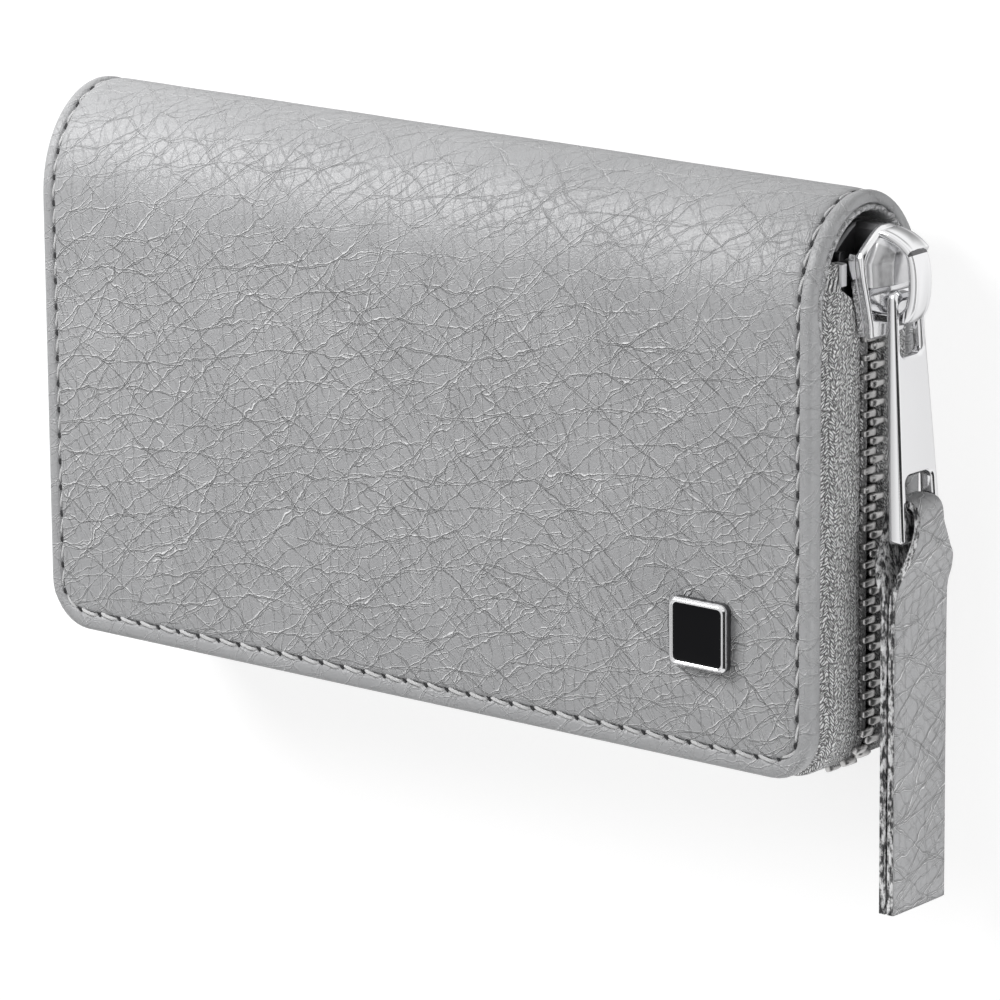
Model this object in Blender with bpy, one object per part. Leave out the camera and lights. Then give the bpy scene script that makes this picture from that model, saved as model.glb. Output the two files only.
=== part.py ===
"""A zip-around leather manicure set case, closed, lying on its back cover.

Frame: metres, +Z up. The origin is the centre of the back cover's flat outer face. +X runs along
the case towards the end where the zip slider stands, +Y towards the rounded spine that the two
covers fold on, and +Z through the thickness to the front cover, which carries the badge.

The back cover, its zip half and the scissors stay still. The spine turns on its lower fold and
the front cover on its upper fold, half a turn in all. The slider runs down the right-hand side,
the pull tab swings in the slider's bridge and the leather strap swings on the tab's lower bar.
"""

import math

import bmesh
import bpy
from mathutils import Matrix, Vector

# The case as a whole
CASE_LENGTH = 0.130
CASE_HEIGHT = 0.075
CASE_THICKNESS = 0.024
CORNER_RADIUS = 0.0065
SPINE_DEPTH = 0.0148
MID_HEIGHT = CASE_THICKNESS / 2
SIDE_X = CASE_LENGTH / 2
LOWER_Y = -CASE_HEIGHT / 2
SPINE_Y = CASE_HEIGHT / 2 - SPINE_DEPTH

# Gaps that neighbours keep
GAP = 0.0003
RUNNING_GAP = 0.00025
CUT_OVERRUN = 0.002

# The covers: leather turned over a board, with a lining inside
COVER_EDGE = 0.0026
LEATHER = 0.0011
RIM_WIDTH = 0.0010
ROLL = 0.0008
ROLL_OUTER_SHARES = ((1.0, 0.0), (0.3, 0.3), (0.0, 1.0))
ROLL_INNER_SHARES = ((0.0, 0.8), (0.2, 0.2), (0.6, 0.0))
COVER_CORNER_STEPS = 6
SHARP_ANGLE = math.radians(35)
BOARD = 0.0012
LINING = 0.0006
BOARD_INSET = 0.0026
BOARD_Z = LEATHER + GAP
LINING_Z = BOARD_Z + BOARD + GAP
TOOL_Z = LINING_Z + LINING + GAP

# The spine: its leather, the turned-in ends and the cloth inside
SPINE_LEATHER = 0.0011
SPINE_RIM = 0.0021
SPINE_TURN_IN = 0.0080
SPINE_LINING = 0.0005
SPINE_STEPS = 20
SPINE_INNER_SHARES = ((0.3, 0.2), (1.0, 0.0))

# The zip tape, woven, sewn inside each cover's edge
TAPE = 0.0007
TAPE_FOOT_Z = 0.0015
TAPE_FOOT_INSET = 0.0014
TAPE_BULGE = 0.0006
TAPE_BULGE_START_Z = 0.0030
TAPE_BULGE_END_Z = 0.0047
TAPE_FOOT_LIFT_LENGTH = 0.0025
TAPE_LEVEL_SHARES = (0.0, 0.2, 0.45, 0.7, 1.0)
TAPE_END_RISE = 0.0068
TAPE_END_TOP_Z = 0.0052
TAPE_DROP_LENGTH = 0.0030
TAPE_END_STEPS = 10
TAPE_CORNER_STEPS = 6

# The zip teeth, one comb on each tape
CHAIN_INSET = -0.0003
CHAIN_RADIUS = CORNER_RADIUS - CHAIN_INSET
TOOTH_PITCH = 0.00245
TOOTH_LENGTH = 0.00105
TOOTH_TAPER = 0.00012
TOOTH_THICKNESS = 0.0024
TOOTH_REACH = 0.00055
BEAD_THICKNESS = 0.0014
BEAD_TOP = 0.0009
BEAD_BOTTOM = 0.00195
TOOTH_BOTTOM = 0.00215
CHAIN_SPREAD = 0.0022
SPREAD_START = 0.0010
SPREAD_LENGTH = 0.0095
CHAIN_END_RISE = 0.0072
LEFT_CHAIN_END = 0.0010

# The stops at the ends of the zip
TOP_STOP_LENGTH = 0.0030
CLIP_LENGTH = 0.0028
CLIP_WIDTH = 0.0014
CLIP_THICKNESS = 0.0020
CLIP_BEVEL = 0.0004
BOTTOM_STOP_LENGTH = 0.0030
BOTTOM_STOP_WIDTH = 0.0046
BOTTOM_STOP_THICKNESS = 0.0032
BOTTOM_STOP_RADIUS = 0.0008

# The slider and the bridge that holds the pull tab
SLIDER_LENGTH = 0.0143
SLIDER_HALF_WIDTH = 0.0056
SLIDER_TOP_ROOM = 0.0017
SLIDER_Y = CASE_HEIGHT / 2 - SPINE_RIM - SLIDER_TOP_ROOM - SLIDER_LENGTH
SLIDER_PLATE = 0.0015
SLIDER_FLANGE = 0.0009
SLIDER_SLOT = 0.0013
SLIDER_HEIGHT = TOOTH_THICKNESS + 2 * GAP
POST_HALF_WIDTH = 0.0013
POST_LENGTH = 0.0068
PLATE_CROWN = 0.0004
SLIDER_OUTLINE_SHARES = (
    (0.52, 0.0), (0.60, 0.03), (0.64, 0.14), (0.80, 0.36), (0.95, 0.60),
    (1.0, 0.74), (0.98, 0.85), (0.82, 0.94), (0.45, 1.0),
)
BRIDGE_WIDTH = 0.0036
BRIDGE_REACH = 0.0055
BRIDGE_THICKNESS = 0.0016
BRIDGE_LOW_Y = 0.0019
BRIDGE_FROM_TOP = 0.0006
BRIDGE_HIGH_Y = SLIDER_LENGTH - BRIDGE_FROM_TOP
BRIDGE_FOOT = 0.0008
BRIDGE_LEAN_SHARE = 0.12
BRIDGE_ROUND_SHARE = 0.5
BRIDGE_STEPS = 14

# The pull tab
TAB_LENGTH = 0.0315
TAB_TOP_WIDTH = 0.0060
TAB_BOTTOM_WIDTH = 0.0088
TAB_TOP_THICKNESS = 0.0015
TAB_BOTTOM_THICKNESS = 0.0025
TAB_BAR = 0.0015
TAB_EYE_LENGTH = 0.0071
TAB_EYE_WIDTH = 0.0046
TAB_EYE_RADIUS = 0.00115
TAB_FOOT_BAR = 0.0040
TAB_SLOT_LENGTH = 0.0045
TAB_SLOT_WIDTH = 0.0056
TAB_SLOT_RADIUS = 0.0009
TAB_CHAMFER = 0.0003
TAB_END_WIDTH_SHARES = (0.72, 0.9)
TAB_HOLE_STEPS = 4
TAB_LEAN = math.radians(3.5)
TAB_PIVOT_OUT = 0.0023
TAB_PIVOT_UP = 0.0058

# The strap: leather folded round the tab's lower bar
STRAP_LAYER = 0.00115
STRAP_WIDTH = 0.0113
STRAP_PINCH = 0.0052
STRAP_LENGTH = 0.0502
STRAP_ROOM = 0.0005
STRAP_JOIN = 0.0070
STRAP_FLARE = 0.0060
STRAP_CORNER_STEPS = 3
STRAP_TAIL_STEPS = 6

# The badge: a metal frame round a dark enamel field
BADGE_SIZE = 0.0090
BADGE_HEIGHT = 0.0011
BADGE_RADIUS = 0.0012
BADGE_BEVEL = 0.0004
BADGE_RIM = 0.0010
BADGE_FIELD_RADIUS = 0.00084
BADGE_CORNER_STEPS = 3
BADGE_RECESS = 0.0006
BADGE_POCKET = 0.0004
BADGE_FIT = 0.0002
BADGE_FROM_END = 0.0170
BADGE_FROM_EDGE = 0.0175

# Nail scissors
SCISSORS_X = -0.014
SCISSORS_FROM_EDGE = 0.0255
SCISSORS_Y = LOWER_Y + SCISSORS_FROM_EDGE
SCISSORS_BLADE = 0.0016
BLADE_LENGTH = 0.034
BLADE_HALF_WIDTH = 0.0030
BLADE_MIDDLE_SHARES = (0.5, 0.75)
PIVOT_FLAT = 0.0051
SHANK_HALF_WIDTH = 0.0017
SHANK_START_SHARE = 0.4
RING_ALONG = 0.046
RING_ASIDE = 0.0108
RING_OUTER = 0.0105
RING_INNER = 0.0078
RING_STEPS = 22
SCREW_RADIUS = 0.0012
SCREW_HEAD_RADIUS = 0.0024
SCREW_HEAD = 0.0007
SCREW_CROWN_SHARES = (0.6, 0.7)
SCREW_STEPS = 16

# The long tools under the bands of the front cover, their places shares of its inner height
INNER_HEIGHT = SPINE_Y - LOWER_Y
FILE_PLACE_SHARE = 0.26
TWEEZERS_PLACE_SHARE = 0.54
PUSHER_PLACE_SHARE = 0.805
BAND_WIDTH = 0.008
BAND = 0.0008
BAND_FOOT = 0.0030
BAND_X = 0.028
FILE_LENGTH = 0.088
FILE_WIDTH = 0.0090
FILE_THICKNESS = 0.0012
FILE_POINT_SHARES = ((0.86, 0.75), (0.6, 1.0))
FILE_STEPS = 8
FILE_Y = LOWER_Y + INNER_HEIGHT * FILE_PLACE_SHARE
TWEEZERS_LENGTH = 0.084
TWEEZERS_WIDTH = 0.0080
TWEEZERS_TIP_WIDTH = 0.0030
TWEEZERS_SPREAD = 0.0046
TWEEZERS_LEAF = 0.0010
TWEEZERS_STATION_SHARES = (-1.0, -0.92, -0.8, -0.4, 0.1, 0.6, 0.9, 1.0)
TWEEZERS_HEEL_SHARE = -0.92
TWEEZERS_HEEL_THICKNESS_SHARE = 1.4
TWEEZERS_BOW_SHARE = 0.9
TWEEZERS_CLOSE_START_SHARE = 0.1
TWEEZERS_CLOSE_SHARE = 0.55
TWEEZERS_TAPER_START_SHARE = 0.2
TWEEZERS_Y = LOWER_Y + INNER_HEIGHT * TWEEZERS_PLACE_SHARE
PUSHER_LENGTH = 0.096
PUSHER_WIDTH = 0.0060
PUSHER_THICKNESS = 0.0024
PUSHER_SPOON_WIDTH = 0.0064
PUSHER_SPOON_SHARES = ((-1.0, 0.328125, 0.3), (-0.97, 0.8, 0.35), (-0.88, 1.0, 0.4))
PUSHER_HANDLE_SHARES = (
    (-0.74, 0.45, 0.6), (-0.6, 0.6, 1.0), (0.0, 0.75, 1.0),
    (0.55, 0.6, 1.0), (0.78, 0.4, 0.55), (1.0, 0.12, 0.25),
)
PUSHER_STEPS = 10
PUSHER_Y = LOWER_Y + INNER_HEIGHT * PUSHER_PLACE_SHARE
LOOP_ALONG = 0.024
LOOP_WIDTH = 0.007
LOOP_ROOM = 0.00102

COLOURS = {
    "leather": ((0.40, 0.40, 0.41), 0.50, 0.0),
    "board": ((0.33, 0.27, 0.20), 0.85, 0.0),
    "lining": ((0.02, 0.02, 0.022), 0.80, 0.0),
    "tape": ((0.16, 0.16, 0.165), 0.85, 0.0),
    "nickel": ((0.62, 0.61, 0.60), 0.25, 1.0),
    "polished": ((0.80, 0.80, 0.81), 0.12, 1.0),
    "enamel": ((0.008, 0.008, 0.009), 0.12, 0.0),
    "steel": ((0.66, 0.67, 0.68), 0.28, 1.0),
}


def clear_scene():
    for obj in list(bpy.data.objects):
        bpy.data.objects.remove(obj)


def material(name):
    """The named Principled material, made once."""
    found = bpy.data.materials.get(name)
    if found:
        return found
    colour, roughness, metallic = COLOURS[name]
    made = bpy.data.materials.new(name)
    made.use_nodes = True
    shader = made.node_tree.nodes["Principled BSDF"]
    shader.inputs["Base Color"].default_value = (*colour, 1.0)
    shader.inputs["Roughness"].default_value = roughness
    shader.inputs["Metallic"].default_value = metallic
    return made


def add_object(name, bm, finish, parent=None):
    """Turns a closed bmesh into a named object with its normals out."""
    bmesh.ops.recalc_face_normals(bm, faces=bm.faces)
    mesh = bpy.data.meshes.new(name)
    bm.to_mesh(mesh)
    bm.free()
    mesh.shade_smooth()
    mesh.set_sharp_from_angle(angle=SHARP_ANGLE)
    mesh.materials.append(material(finish))
    obj = bpy.data.objects.new(name, mesh)
    bpy.context.scene.collection.objects.link(obj)
    obj.parent = parent
    return obj


def add_empty(name, place, parent=None):
    """An empty on a joint's axis, which the pieces of a moving body hang from."""
    empty = bpy.data.objects.new(name, None)
    empty.empty_display_size = CORNER_RADIUS
    empty.location = place
    bpy.context.scene.collection.objects.link(empty)
    empty.parent = parent
    return empty


def helper(name, bm):
    """A hidden cutter or join piece for a Boolean."""
    obj = add_object(name, bm, "nickel")
    obj.hide_render = True
    obj.display_type = "WIRE"
    return obj


def combine(target, other, operation):
    modifier = target.modifiers.new(other.name, "BOOLEAN")
    modifier.operation = operation
    modifier.solver = "EXACT"
    modifier.object = other


def loft(rings, closed=False):
    """Skins rings of equally many points. Open lofts are capped at both ends."""
    bm = bmesh.new()
    rows = [[bm.verts.new(p) for p in ring] for ring in rings]
    pairs = list(zip(rows, rows[1:]))
    if closed:
        pairs.append((rows[-1], rows[0]))
    for low, high in pairs:
        for i in range(len(low)):
            j = (i + 1) % len(low)
            bm.faces.new((low[i], low[j], high[j], high[i]))
    if not closed:
        bm.faces.new(rows[0][::-1])
        bm.faces.new(rows[-1])
    return bm


def prism(outline, low, high, axis="Z"):
    """Extrudes an outline between two places on an axis. On X the outline is (y, z), on Y (x, z)."""
    order = {"X": (2, 0, 1), "Y": (0, 2, 1), "Z": (0, 1, 2)}[axis]

    def placed(point, along):
        given = (point[0], point[1], along)
        return Vector([given[i] for i in order])

    return loft([[placed(p, low) for p in outline], [placed(p, high) for p in outline]])


def arc(centre, radius, start, end, steps):
    """Points on an arc, both ends included."""
    return [
        (
            centre[0] + radius * math.cos(start + (end - start) * i / steps),
            centre[1] + radius * math.sin(start + (end - start) * i / steps),
        )
        for i in range(steps + 1)
    ]


def rounded_rectangle(half_x, half_y, radius, steps=3, centre=(0.0, 0.0)):
    points = []
    for sign_x, sign_y, start in ((1, 1, 0.0), (-1, 1, 0.5), (-1, -1, 1.0), (1, -1, 1.5)):
        corner = (
            centre[0] + sign_x * (half_x - radius),
            centre[1] + sign_y * (half_y - radius),
        )
        points += arc(corner, radius, start * math.pi, (start + 0.5) * math.pi, steps)
    return points


def mirrored(points):
    """The same points on the front half of the case."""
    return [Vector((p[0], p[1], CASE_THICKNESS - p[2])) for p in points]


def smooth_step(share):
    share = min(max(share, 0.0), 1.0)
    return share * share * (3 - 2 * share)


# Covers


def cover_outline(inset, top_y):
    """The cover seen from the front: straight at the spine, round at the two zip corners."""
    radius = CORNER_RADIUS - inset
    right = (SIDE_X - CORNER_RADIUS, LOWER_Y + CORNER_RADIUS)
    left = (-right[0], right[1])
    points = [(SIDE_X - inset, top_y), (-SIDE_X + inset, top_y)]
    points += arc(left, radius, math.pi, 1.5 * math.pi, COVER_CORNER_STEPS)
    points += arc(right, radius, 1.5 * math.pi, 2 * math.pi, COVER_CORNER_STEPS)
    return points


def make_cover(name, front, parent=None):
    """One leather cover: a thin tray whose rolled rim hides the board's edge. The pocket that is
    cut inside the rim runs out past the spine side."""
    top_y = SPINE_Y - GAP / 2
    levels = [(ROLL * inset, ROLL * rise) for inset, rise in ROLL_OUTER_SHARES]
    levels += [(ROLL * inset, COVER_EDGE - ROLL * drop) for inset, drop in ROLL_INNER_SHARES]
    rings = [
        [Vector((x, y, z)) for x, y in cover_outline(inset, top_y)] for inset, z in levels
    ]
    pocket = [
        [Vector((x, y, z)) for x, y in cover_outline(RIM_WIDTH, SPINE_Y + CUT_OVERRUN)]
        for z in (LEATHER, COVER_EDGE + CUT_OVERRUN)
    ]
    if front:
        rings = [mirrored(ring) for ring in rings]
        pocket = [mirrored(ring) for ring in pocket]
    cover = add_object(name, loft(rings), "leather", parent)
    combine(cover, helper(name + "_pocket", loft(pocket)), "DIFFERENCE")
    return cover


def make_flat_layer(name, low, thickness, finish, front, parent=None):
    """A board or lining panel inside a cover."""
    outline = cover_outline(BOARD_INSET, SPINE_Y - GAP)
    rings = [
        [Vector((x, y, z)) for x, y in outline] for z in (low, low + thickness)
    ]
    if front:
        rings = [mirrored(ring) for ring in rings]
    return add_object(name, loft(rings), finish, parent)


def spine_point(x, depth, angle):
    """A point on the spine: depth inside the outer half ellipse, angle from the back fold."""
    along = (SPINE_DEPTH - GAP / 2 - depth) * math.sin(angle)
    up = (MID_HEIGHT - depth) * math.cos(angle)
    return Vector((x, SPINE_Y + GAP / 2 + along, MID_HEIGHT - up))


def spine_length():
    """The leather's length round the spine, from one cover to the other."""
    total = GAP
    last = spine_point(0.0, 0.0, 0.0)
    for step in range(1, SPINE_STEPS + 1):
        point = spine_point(0.0, 0.0, math.pi * step / SPINE_STEPS)
        total += (point - last).length
        last = point
    return total


def fold_place():
    """(y, z) of the lower fold. A quarter turn on it lays the spine's top edge on the table, and a
    quarter turn on the fold above it then lays the front cover flat, one spine length away."""
    difference = SPINE_Y - MID_HEIGHT + spine_length() / 2
    top = CASE_HEIGHT / 2
    return (top + difference) / 2, (top - difference) / 2


def swept_spine(name, section, finish, parent):
    """Sweeps a closed (x, depth) section round the half ellipse."""
    rings = []
    for step in range(SPINE_STEPS + 1):
        angle = math.pi * step / SPINE_STEPS
        rings.append([spine_point(x, depth, angle) for x, depth in section])
    return add_object(name, loft(rings), finish, parent)


def make_spine_leather(parent):
    end = SIDE_X
    turned = end - SPINE_TURN_IN
    half = [(end - ROLL * inset, ROLL * rise) for inset, rise in ROLL_OUTER_SHARES]
    half += [(end - ROLL * inset, SPINE_RIM - ROLL * drop) for inset, drop in SPINE_INNER_SHARES]
    half += [(turned, SPINE_RIM), (turned - SPINE_RIM, SPINE_LEATHER)]
    section = half + [(-x, depth) for x, depth in reversed(half)]
    return swept_spine("spine_leather", section, "leather", parent)


def make_spine_lining(parent):
    half_length = SIDE_X - SPINE_TURN_IN - SPINE_RIM - GAP
    outer = SPINE_LEATHER + GAP
    inner = outer + SPINE_LINING
    section = [
        (half_length, outer), (half_length, inner),
        (-half_length, inner), (-half_length, outer),
    ]
    return swept_spine("spine_lining", section, "lining", parent)


# Zip


def zip_runs(top_y):
    """Lengths of the side, corner and lower run of the zip, measured along the teeth."""
    side = top_y - (LOWER_Y + CORNER_RADIUS)
    corner = CHAIN_RADIUS * math.pi / 2
    lower = CASE_LENGTH - 2 * CORNER_RADIUS
    return side, corner, lower


def zip_place(along, out, top_y):
    """(x, y) of a place on the zip, from the right-hand end round to the left-hand end."""
    side, corner, lower = zip_runs(top_y)
    centre_x = SIDE_X - CORNER_RADIUS
    centre_y = LOWER_Y + CORNER_RADIUS
    radius = CORNER_RADIUS + out
    if along <= side:
        return SIDE_X + out, top_y - along
    along -= side
    if along <= corner:
        angle = along / CHAIN_RADIUS
        return centre_x + radius * math.cos(angle), centre_y - radius * math.sin(angle)
    along -= corner
    if along <= lower:
        return centre_x - along, centre_y - radius
    along -= lower
    if along <= corner:
        angle = along / CHAIN_RADIUS
        return -centre_x - radius * math.sin(angle), centre_y - radius * math.cos(angle)
    return -SIDE_X - out, centre_y + along - corner


def spread_at(y, x):
    """How far each row of teeth is pushed aside where it enters the slider."""
    if x < 0:
        return 0.0
    return CHAIN_SPREAD * smooth_step((y - SLIDER_Y - SPREAD_START) / SPREAD_LENGTH)


def tape_out(z):
    """How far the tape's outer face stands out from the case's outline, at a height."""
    share = (z - TAPE_BULGE_START_Z) / (TAPE_BULGE_END_Z - TAPE_BULGE_START_Z)
    return -TAPE_FOOT_INSET + (TAPE_FOOT_INSET + TAPE_BULGE) * smooth_step(share)


def tape_foot(y):
    """The tape's lower edge, which follows the inside of the spine past the fold."""
    room_y = SPINE_DEPTH - SPINE_RIM - GAP
    room_z = MID_HEIGHT - SPINE_RIM - GAP
    if y <= SPINE_Y:
        lift = smooth_step((y - SPINE_Y + 2 * TAPE_FOOT_LIFT_LENGTH) / TAPE_FOOT_LIFT_LENGTH)
        return TAPE_FOOT_Z + (MID_HEIGHT - room_z - TAPE_FOOT_Z) * lift
    share = min((y - SPINE_Y) / room_y, 1.0)
    return MID_HEIGHT - room_z * math.sqrt(1 - share * share)


def tape_top(x, y):
    """The tape's upper edge, just under the teeth, dropping to the end stop."""
    level = MID_HEIGHT - TOOTH_BOTTOM - GAP - spread_at(y, x)
    clip_y = SPINE_Y + TAPE_END_RISE - CLIP_LENGTH
    drop = smooth_step((y - clip_y + TAPE_DROP_LENGTH) / TAPE_DROP_LENGTH)
    return level + (TAPE_END_TOP_Z - level) * drop


def tape_ring(along, top_y):
    ring = []
    x, y = zip_place(along, 0.0, top_y)
    low = tape_foot(y)
    high = tape_top(x, y)
    levels = [low + (high - low) * share for share in TAPE_LEVEL_SHARES]
    for z in levels:
        ring.append(Vector((*zip_place(along, tape_out(z), top_y), z)))
    for z in reversed(levels):
        ring.append(Vector((*zip_place(along, tape_out(z) - TAPE, top_y), z)))
    return ring


def make_tape(name, front, parent=None):
    top_y = SPINE_Y + TAPE_END_RISE
    side, corner, lower = zip_runs(top_y)
    end_zone = TAPE_END_RISE + SPREAD_LENGTH
    total = 2 * side + 2 * corner + lower
    end_places = [end_zone * i / TAPE_END_STEPS for i in range(TAPE_END_STEPS + 1)]
    corner_places = [corner * i / TAPE_CORNER_STEPS for i in range(TAPE_CORNER_STEPS + 1)]
    places = end_places + [side + place for place in corner_places]
    places += [side + corner + lower + place for place in corner_places]
    places += [total - place for place in reversed(end_places)]
    rings = [tape_ring(place, top_y) for place in places]
    if front:
        rings = [mirrored(ring) for ring in rings]
    return add_object(name, loft(rings), "tape", parent)


def chain_ring(along, top_y, half_thick, low, high, pull):
    """One cross-section of a half chain. pull moves its tip corners along the zip."""
    ring = []
    for out, z, shift in (
        (-half_thick, -low, 0.0), (half_thick, -low, 0.0),
        (half_thick, high, pull), (-half_thick, high, pull),
    ):
        x, y = zip_place(along + shift, out - CHAIN_INSET, top_y)
        ring.append(Vector((x, y, MID_HEIGHT + z - spread_at(y, x))))
    return ring


def tooth_rings(first, last, top_y):
    """Four sections: the bead up to a tooth, the tooth's two tapered ends, and the bead again."""
    bead = (BEAD_THICKNESS / 2, BEAD_BOTTOM, -BEAD_TOP)
    tooth = (TOOTH_THICKNESS / 2, TOOTH_BOTTOM, TOOTH_REACH)
    return [
        chain_ring(first, top_y, *bead, 0.0),
        chain_ring(first, top_y, *tooth, TOOTH_TAPER),
        chain_ring(last, top_y, *tooth, -TOOTH_TAPER),
        chain_ring(last, top_y, *bead, 0.0),
    ]


def make_chain(name, front, parent=None):
    """One row of teeth on its bead, after a longer stop, stepping out to mesh with the other row."""
    top_y = SPINE_Y + CHAIN_END_RISE
    side, corner, lower = zip_runs(top_y)
    total = 2 * side + 2 * corner + lower - CHAIN_END_RISE + LEFT_CHAIN_END
    start = TOP_STOP_LENGTH + TOOTH_PITCH * (1.0 if front else 0.5)
    count = int((total - start) / TOOTH_PITCH)
    rings = tooth_rings(0.0, TOP_STOP_LENGTH, top_y)[1:]
    for i in range(count):
        first = start + i * TOOTH_PITCH
        rings += tooth_rings(first, first + TOOTH_LENGTH, top_y)
    rings.append(chain_ring(total, top_y, BEAD_THICKNESS / 2, BEAD_BOTTOM, -BEAD_TOP, 0.0))
    if front:
        rings = [mirrored(ring) for ring in rings]
    return add_object(name, loft(rings), "nickel", parent)


def make_tape_clip(name, front, parent=None):
    """A bent metal clip over the corner of the tape's end, beside the slider."""
    out = SIDE_X + TAPE_BULGE - TAPE / 2
    high_y = SPINE_Y + TAPE_END_RISE
    top = MID_HEIGHT - SLIDER_HALF_WIDTH - GAP
    gap_half = TAPE / 2 + RUNNING_GAP
    slot_top = TAPE_END_TOP_Z + RUNNING_GAP
    half = CLIP_THICKNESS / 2
    low = top - CLIP_WIDTH
    section = [
        (-half, low), (-gap_half, low), (-gap_half, slot_top), (gap_half, slot_top),
        (gap_half, low), (half, low), (half, top - CLIP_BEVEL), (half - CLIP_BEVEL, top),
        (CLIP_BEVEL - half, top), (-half, top - CLIP_BEVEL),
    ]
    rings = []
    for y in (high_y - CLIP_LENGTH, high_y):
        rings.append([Vector((out + x, y, z)) for x, z in section])
    if front:
        rings = [mirrored(ring) for ring in rings]
    return add_object(name, loft(rings), "polished", parent)


def make_bottom_stop(parent=None):
    """The block that holds the two rows together at the left-hand end."""
    low_y = SPINE_Y + LEFT_CHAIN_END + GAP
    outline = rounded_rectangle(
        BOTTOM_STOP_THICKNESS / 2, BOTTOM_STOP_WIDTH / 2, BOTTOM_STOP_RADIUS,
        centre=(-(SIDE_X - CHAIN_INSET), MID_HEIGHT),
    )
    return add_object(
        "zip_bottom_stop",
        prism(outline, low_y, low_y + BOTTOM_STOP_LENGTH, "Y"),
        "nickel",
        parent,
    )


# Slider


def slider_outline(inset=0.0):
    """The plate seen square on, as (y, z): a narrow foot, wide shoulders and a round top."""
    right = [
        (share_y * SLIDER_LENGTH, share_z * SLIDER_HALF_WIDTH - inset)
        for share_z, share_y in SLIDER_OUTLINE_SHARES
    ]
    return right + [(y, -z) for y, z in reversed(right)]


def channel_outline():
    """The Y-shaped way for the two rows of teeth, round the pointed post."""
    foot = SLIDER_OUTLINE_SHARES[2][0] * SLIDER_HALF_WIDTH - SLIDER_FLANGE
    shoulder = SLIDER_HALF_WIDTH - SLIDER_FLANGE
    shoulder_y = SLIDER_OUTLINE_SHARES[5][1] * SLIDER_LENGTH
    middle_y = SLIDER_OUTLINE_SHARES[3][1] * SLIDER_LENGTH
    middle = SLIDER_OUTLINE_SHARES[3][0] * SLIDER_HALF_WIDTH - SLIDER_FLANGE
    far = SLIDER_LENGTH + CUT_OVERRUN
    tip_y = SLIDER_LENGTH - POST_LENGTH
    right = [
        (-CUT_OVERRUN, foot), (0.0, foot), (middle_y, middle), (shoulder_y, shoulder),
        (far, shoulder), (far, POST_HALF_WIDTH), (shoulder_y, POST_HALF_WIDTH),
    ]
    return right + [(tip_y, 0.0)] + [(y, -z) for y, z in reversed(right)]


def bridge_outline():
    """The bridge seen from the front, as (x, y) from the plate's face: a D open to the plate."""
    middle_y = (BRIDGE_LOW_Y + BRIDGE_HIGH_Y) / 2
    half = (BRIDGE_HIGH_Y - BRIDGE_LOW_Y) / 2

    def side(reach, height):
        points = [(-BRIDGE_FOOT, middle_y - height)]
        for i in range(BRIDGE_STEPS + 1):
            angle = math.pi * (i / BRIDGE_STEPS - 0.5)
            wide = max(math.cos(angle), 0.0) ** BRIDGE_ROUND_SHARE
            lean = 1.0 - BRIDGE_LEAN_SHARE * math.sin(angle)
            points.append((reach * wide * lean, middle_y + height * math.sin(angle)))
        points.append((-BRIDGE_FOOT, middle_y + height))
        return points

    inner = side(BRIDGE_REACH - BRIDGE_THICKNESS, half - BRIDGE_THICKNESS)
    return side(BRIDGE_REACH, half) + inner[::-1]


def make_slider(parent):
    """Two plates joined by a pointed post, with side flanges, a tape slot and the bridge."""
    inner = -SLIDER_HEIGHT / 2 - SLIDER_PLATE
    outer = SLIDER_HEIGHT / 2 + SLIDER_PLATE
    levels = (
        (inner, PLATE_CROWN), (inner + PLATE_CROWN, 0.0),
        (outer - PLATE_CROWN, 0.0), (outer, PLATE_CROWN),
    )
    rings = [
        [Vector((x, y, z)) for y, z in slider_outline(inset)] for x, inset in levels
    ]
    slider = add_object("slider_body", loft(rings), "polished", parent)
    half = SLIDER_HEIGHT / 2
    channel = helper("slider_channel", prism(channel_outline(), -half, half, "X"))
    channel.parent = parent
    combine(slider, channel, "DIFFERENCE")
    for side in (-1, 1):
        near = side * (POST_HALF_WIDTH + GAP)
        far = side * (SLIDER_HALF_WIDTH + CUT_OVERRUN)
        outline = [
            (-CUT_OVERRUN, near), (SLIDER_LENGTH + CUT_OVERRUN, near),
            (SLIDER_LENGTH + CUT_OVERRUN, far), (-CUT_OVERRUN, far),
        ]
        slot = helper(
            "slider_slot_" + ("back", "front")[side > 0],
            prism(outline, -SLIDER_SLOT / 2, SLIDER_SLOT / 2, "X"),
        )
        slot.parent = parent
        combine(slider, slot, "DIFFERENCE")
    outline = [(outer + x, y) for x, y in bridge_outline()]
    bridge = helper("slider_bridge", prism(outline, -BRIDGE_WIDTH / 2, BRIDGE_WIDTH / 2))
    bridge.parent = parent
    combine(slider, bridge, "UNION")
    return slider


def tab_ring(y, width, thickness):
    """A rectangle with cut corners, square to the tab's length."""
    half_x, half_z = thickness / 2, width / 2
    cut = TAB_CHAMFER
    corners = (
        (half_x - cut, -half_z), (half_x, cut - half_z), (half_x, half_z - cut),
        (half_x - cut, half_z), (cut - half_x, half_z), (-half_x, half_z - cut),
        (-half_x, cut - half_z), (cut - half_x, -half_z),
    )
    return [Vector((x, y, z)) for x, z in corners]


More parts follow.
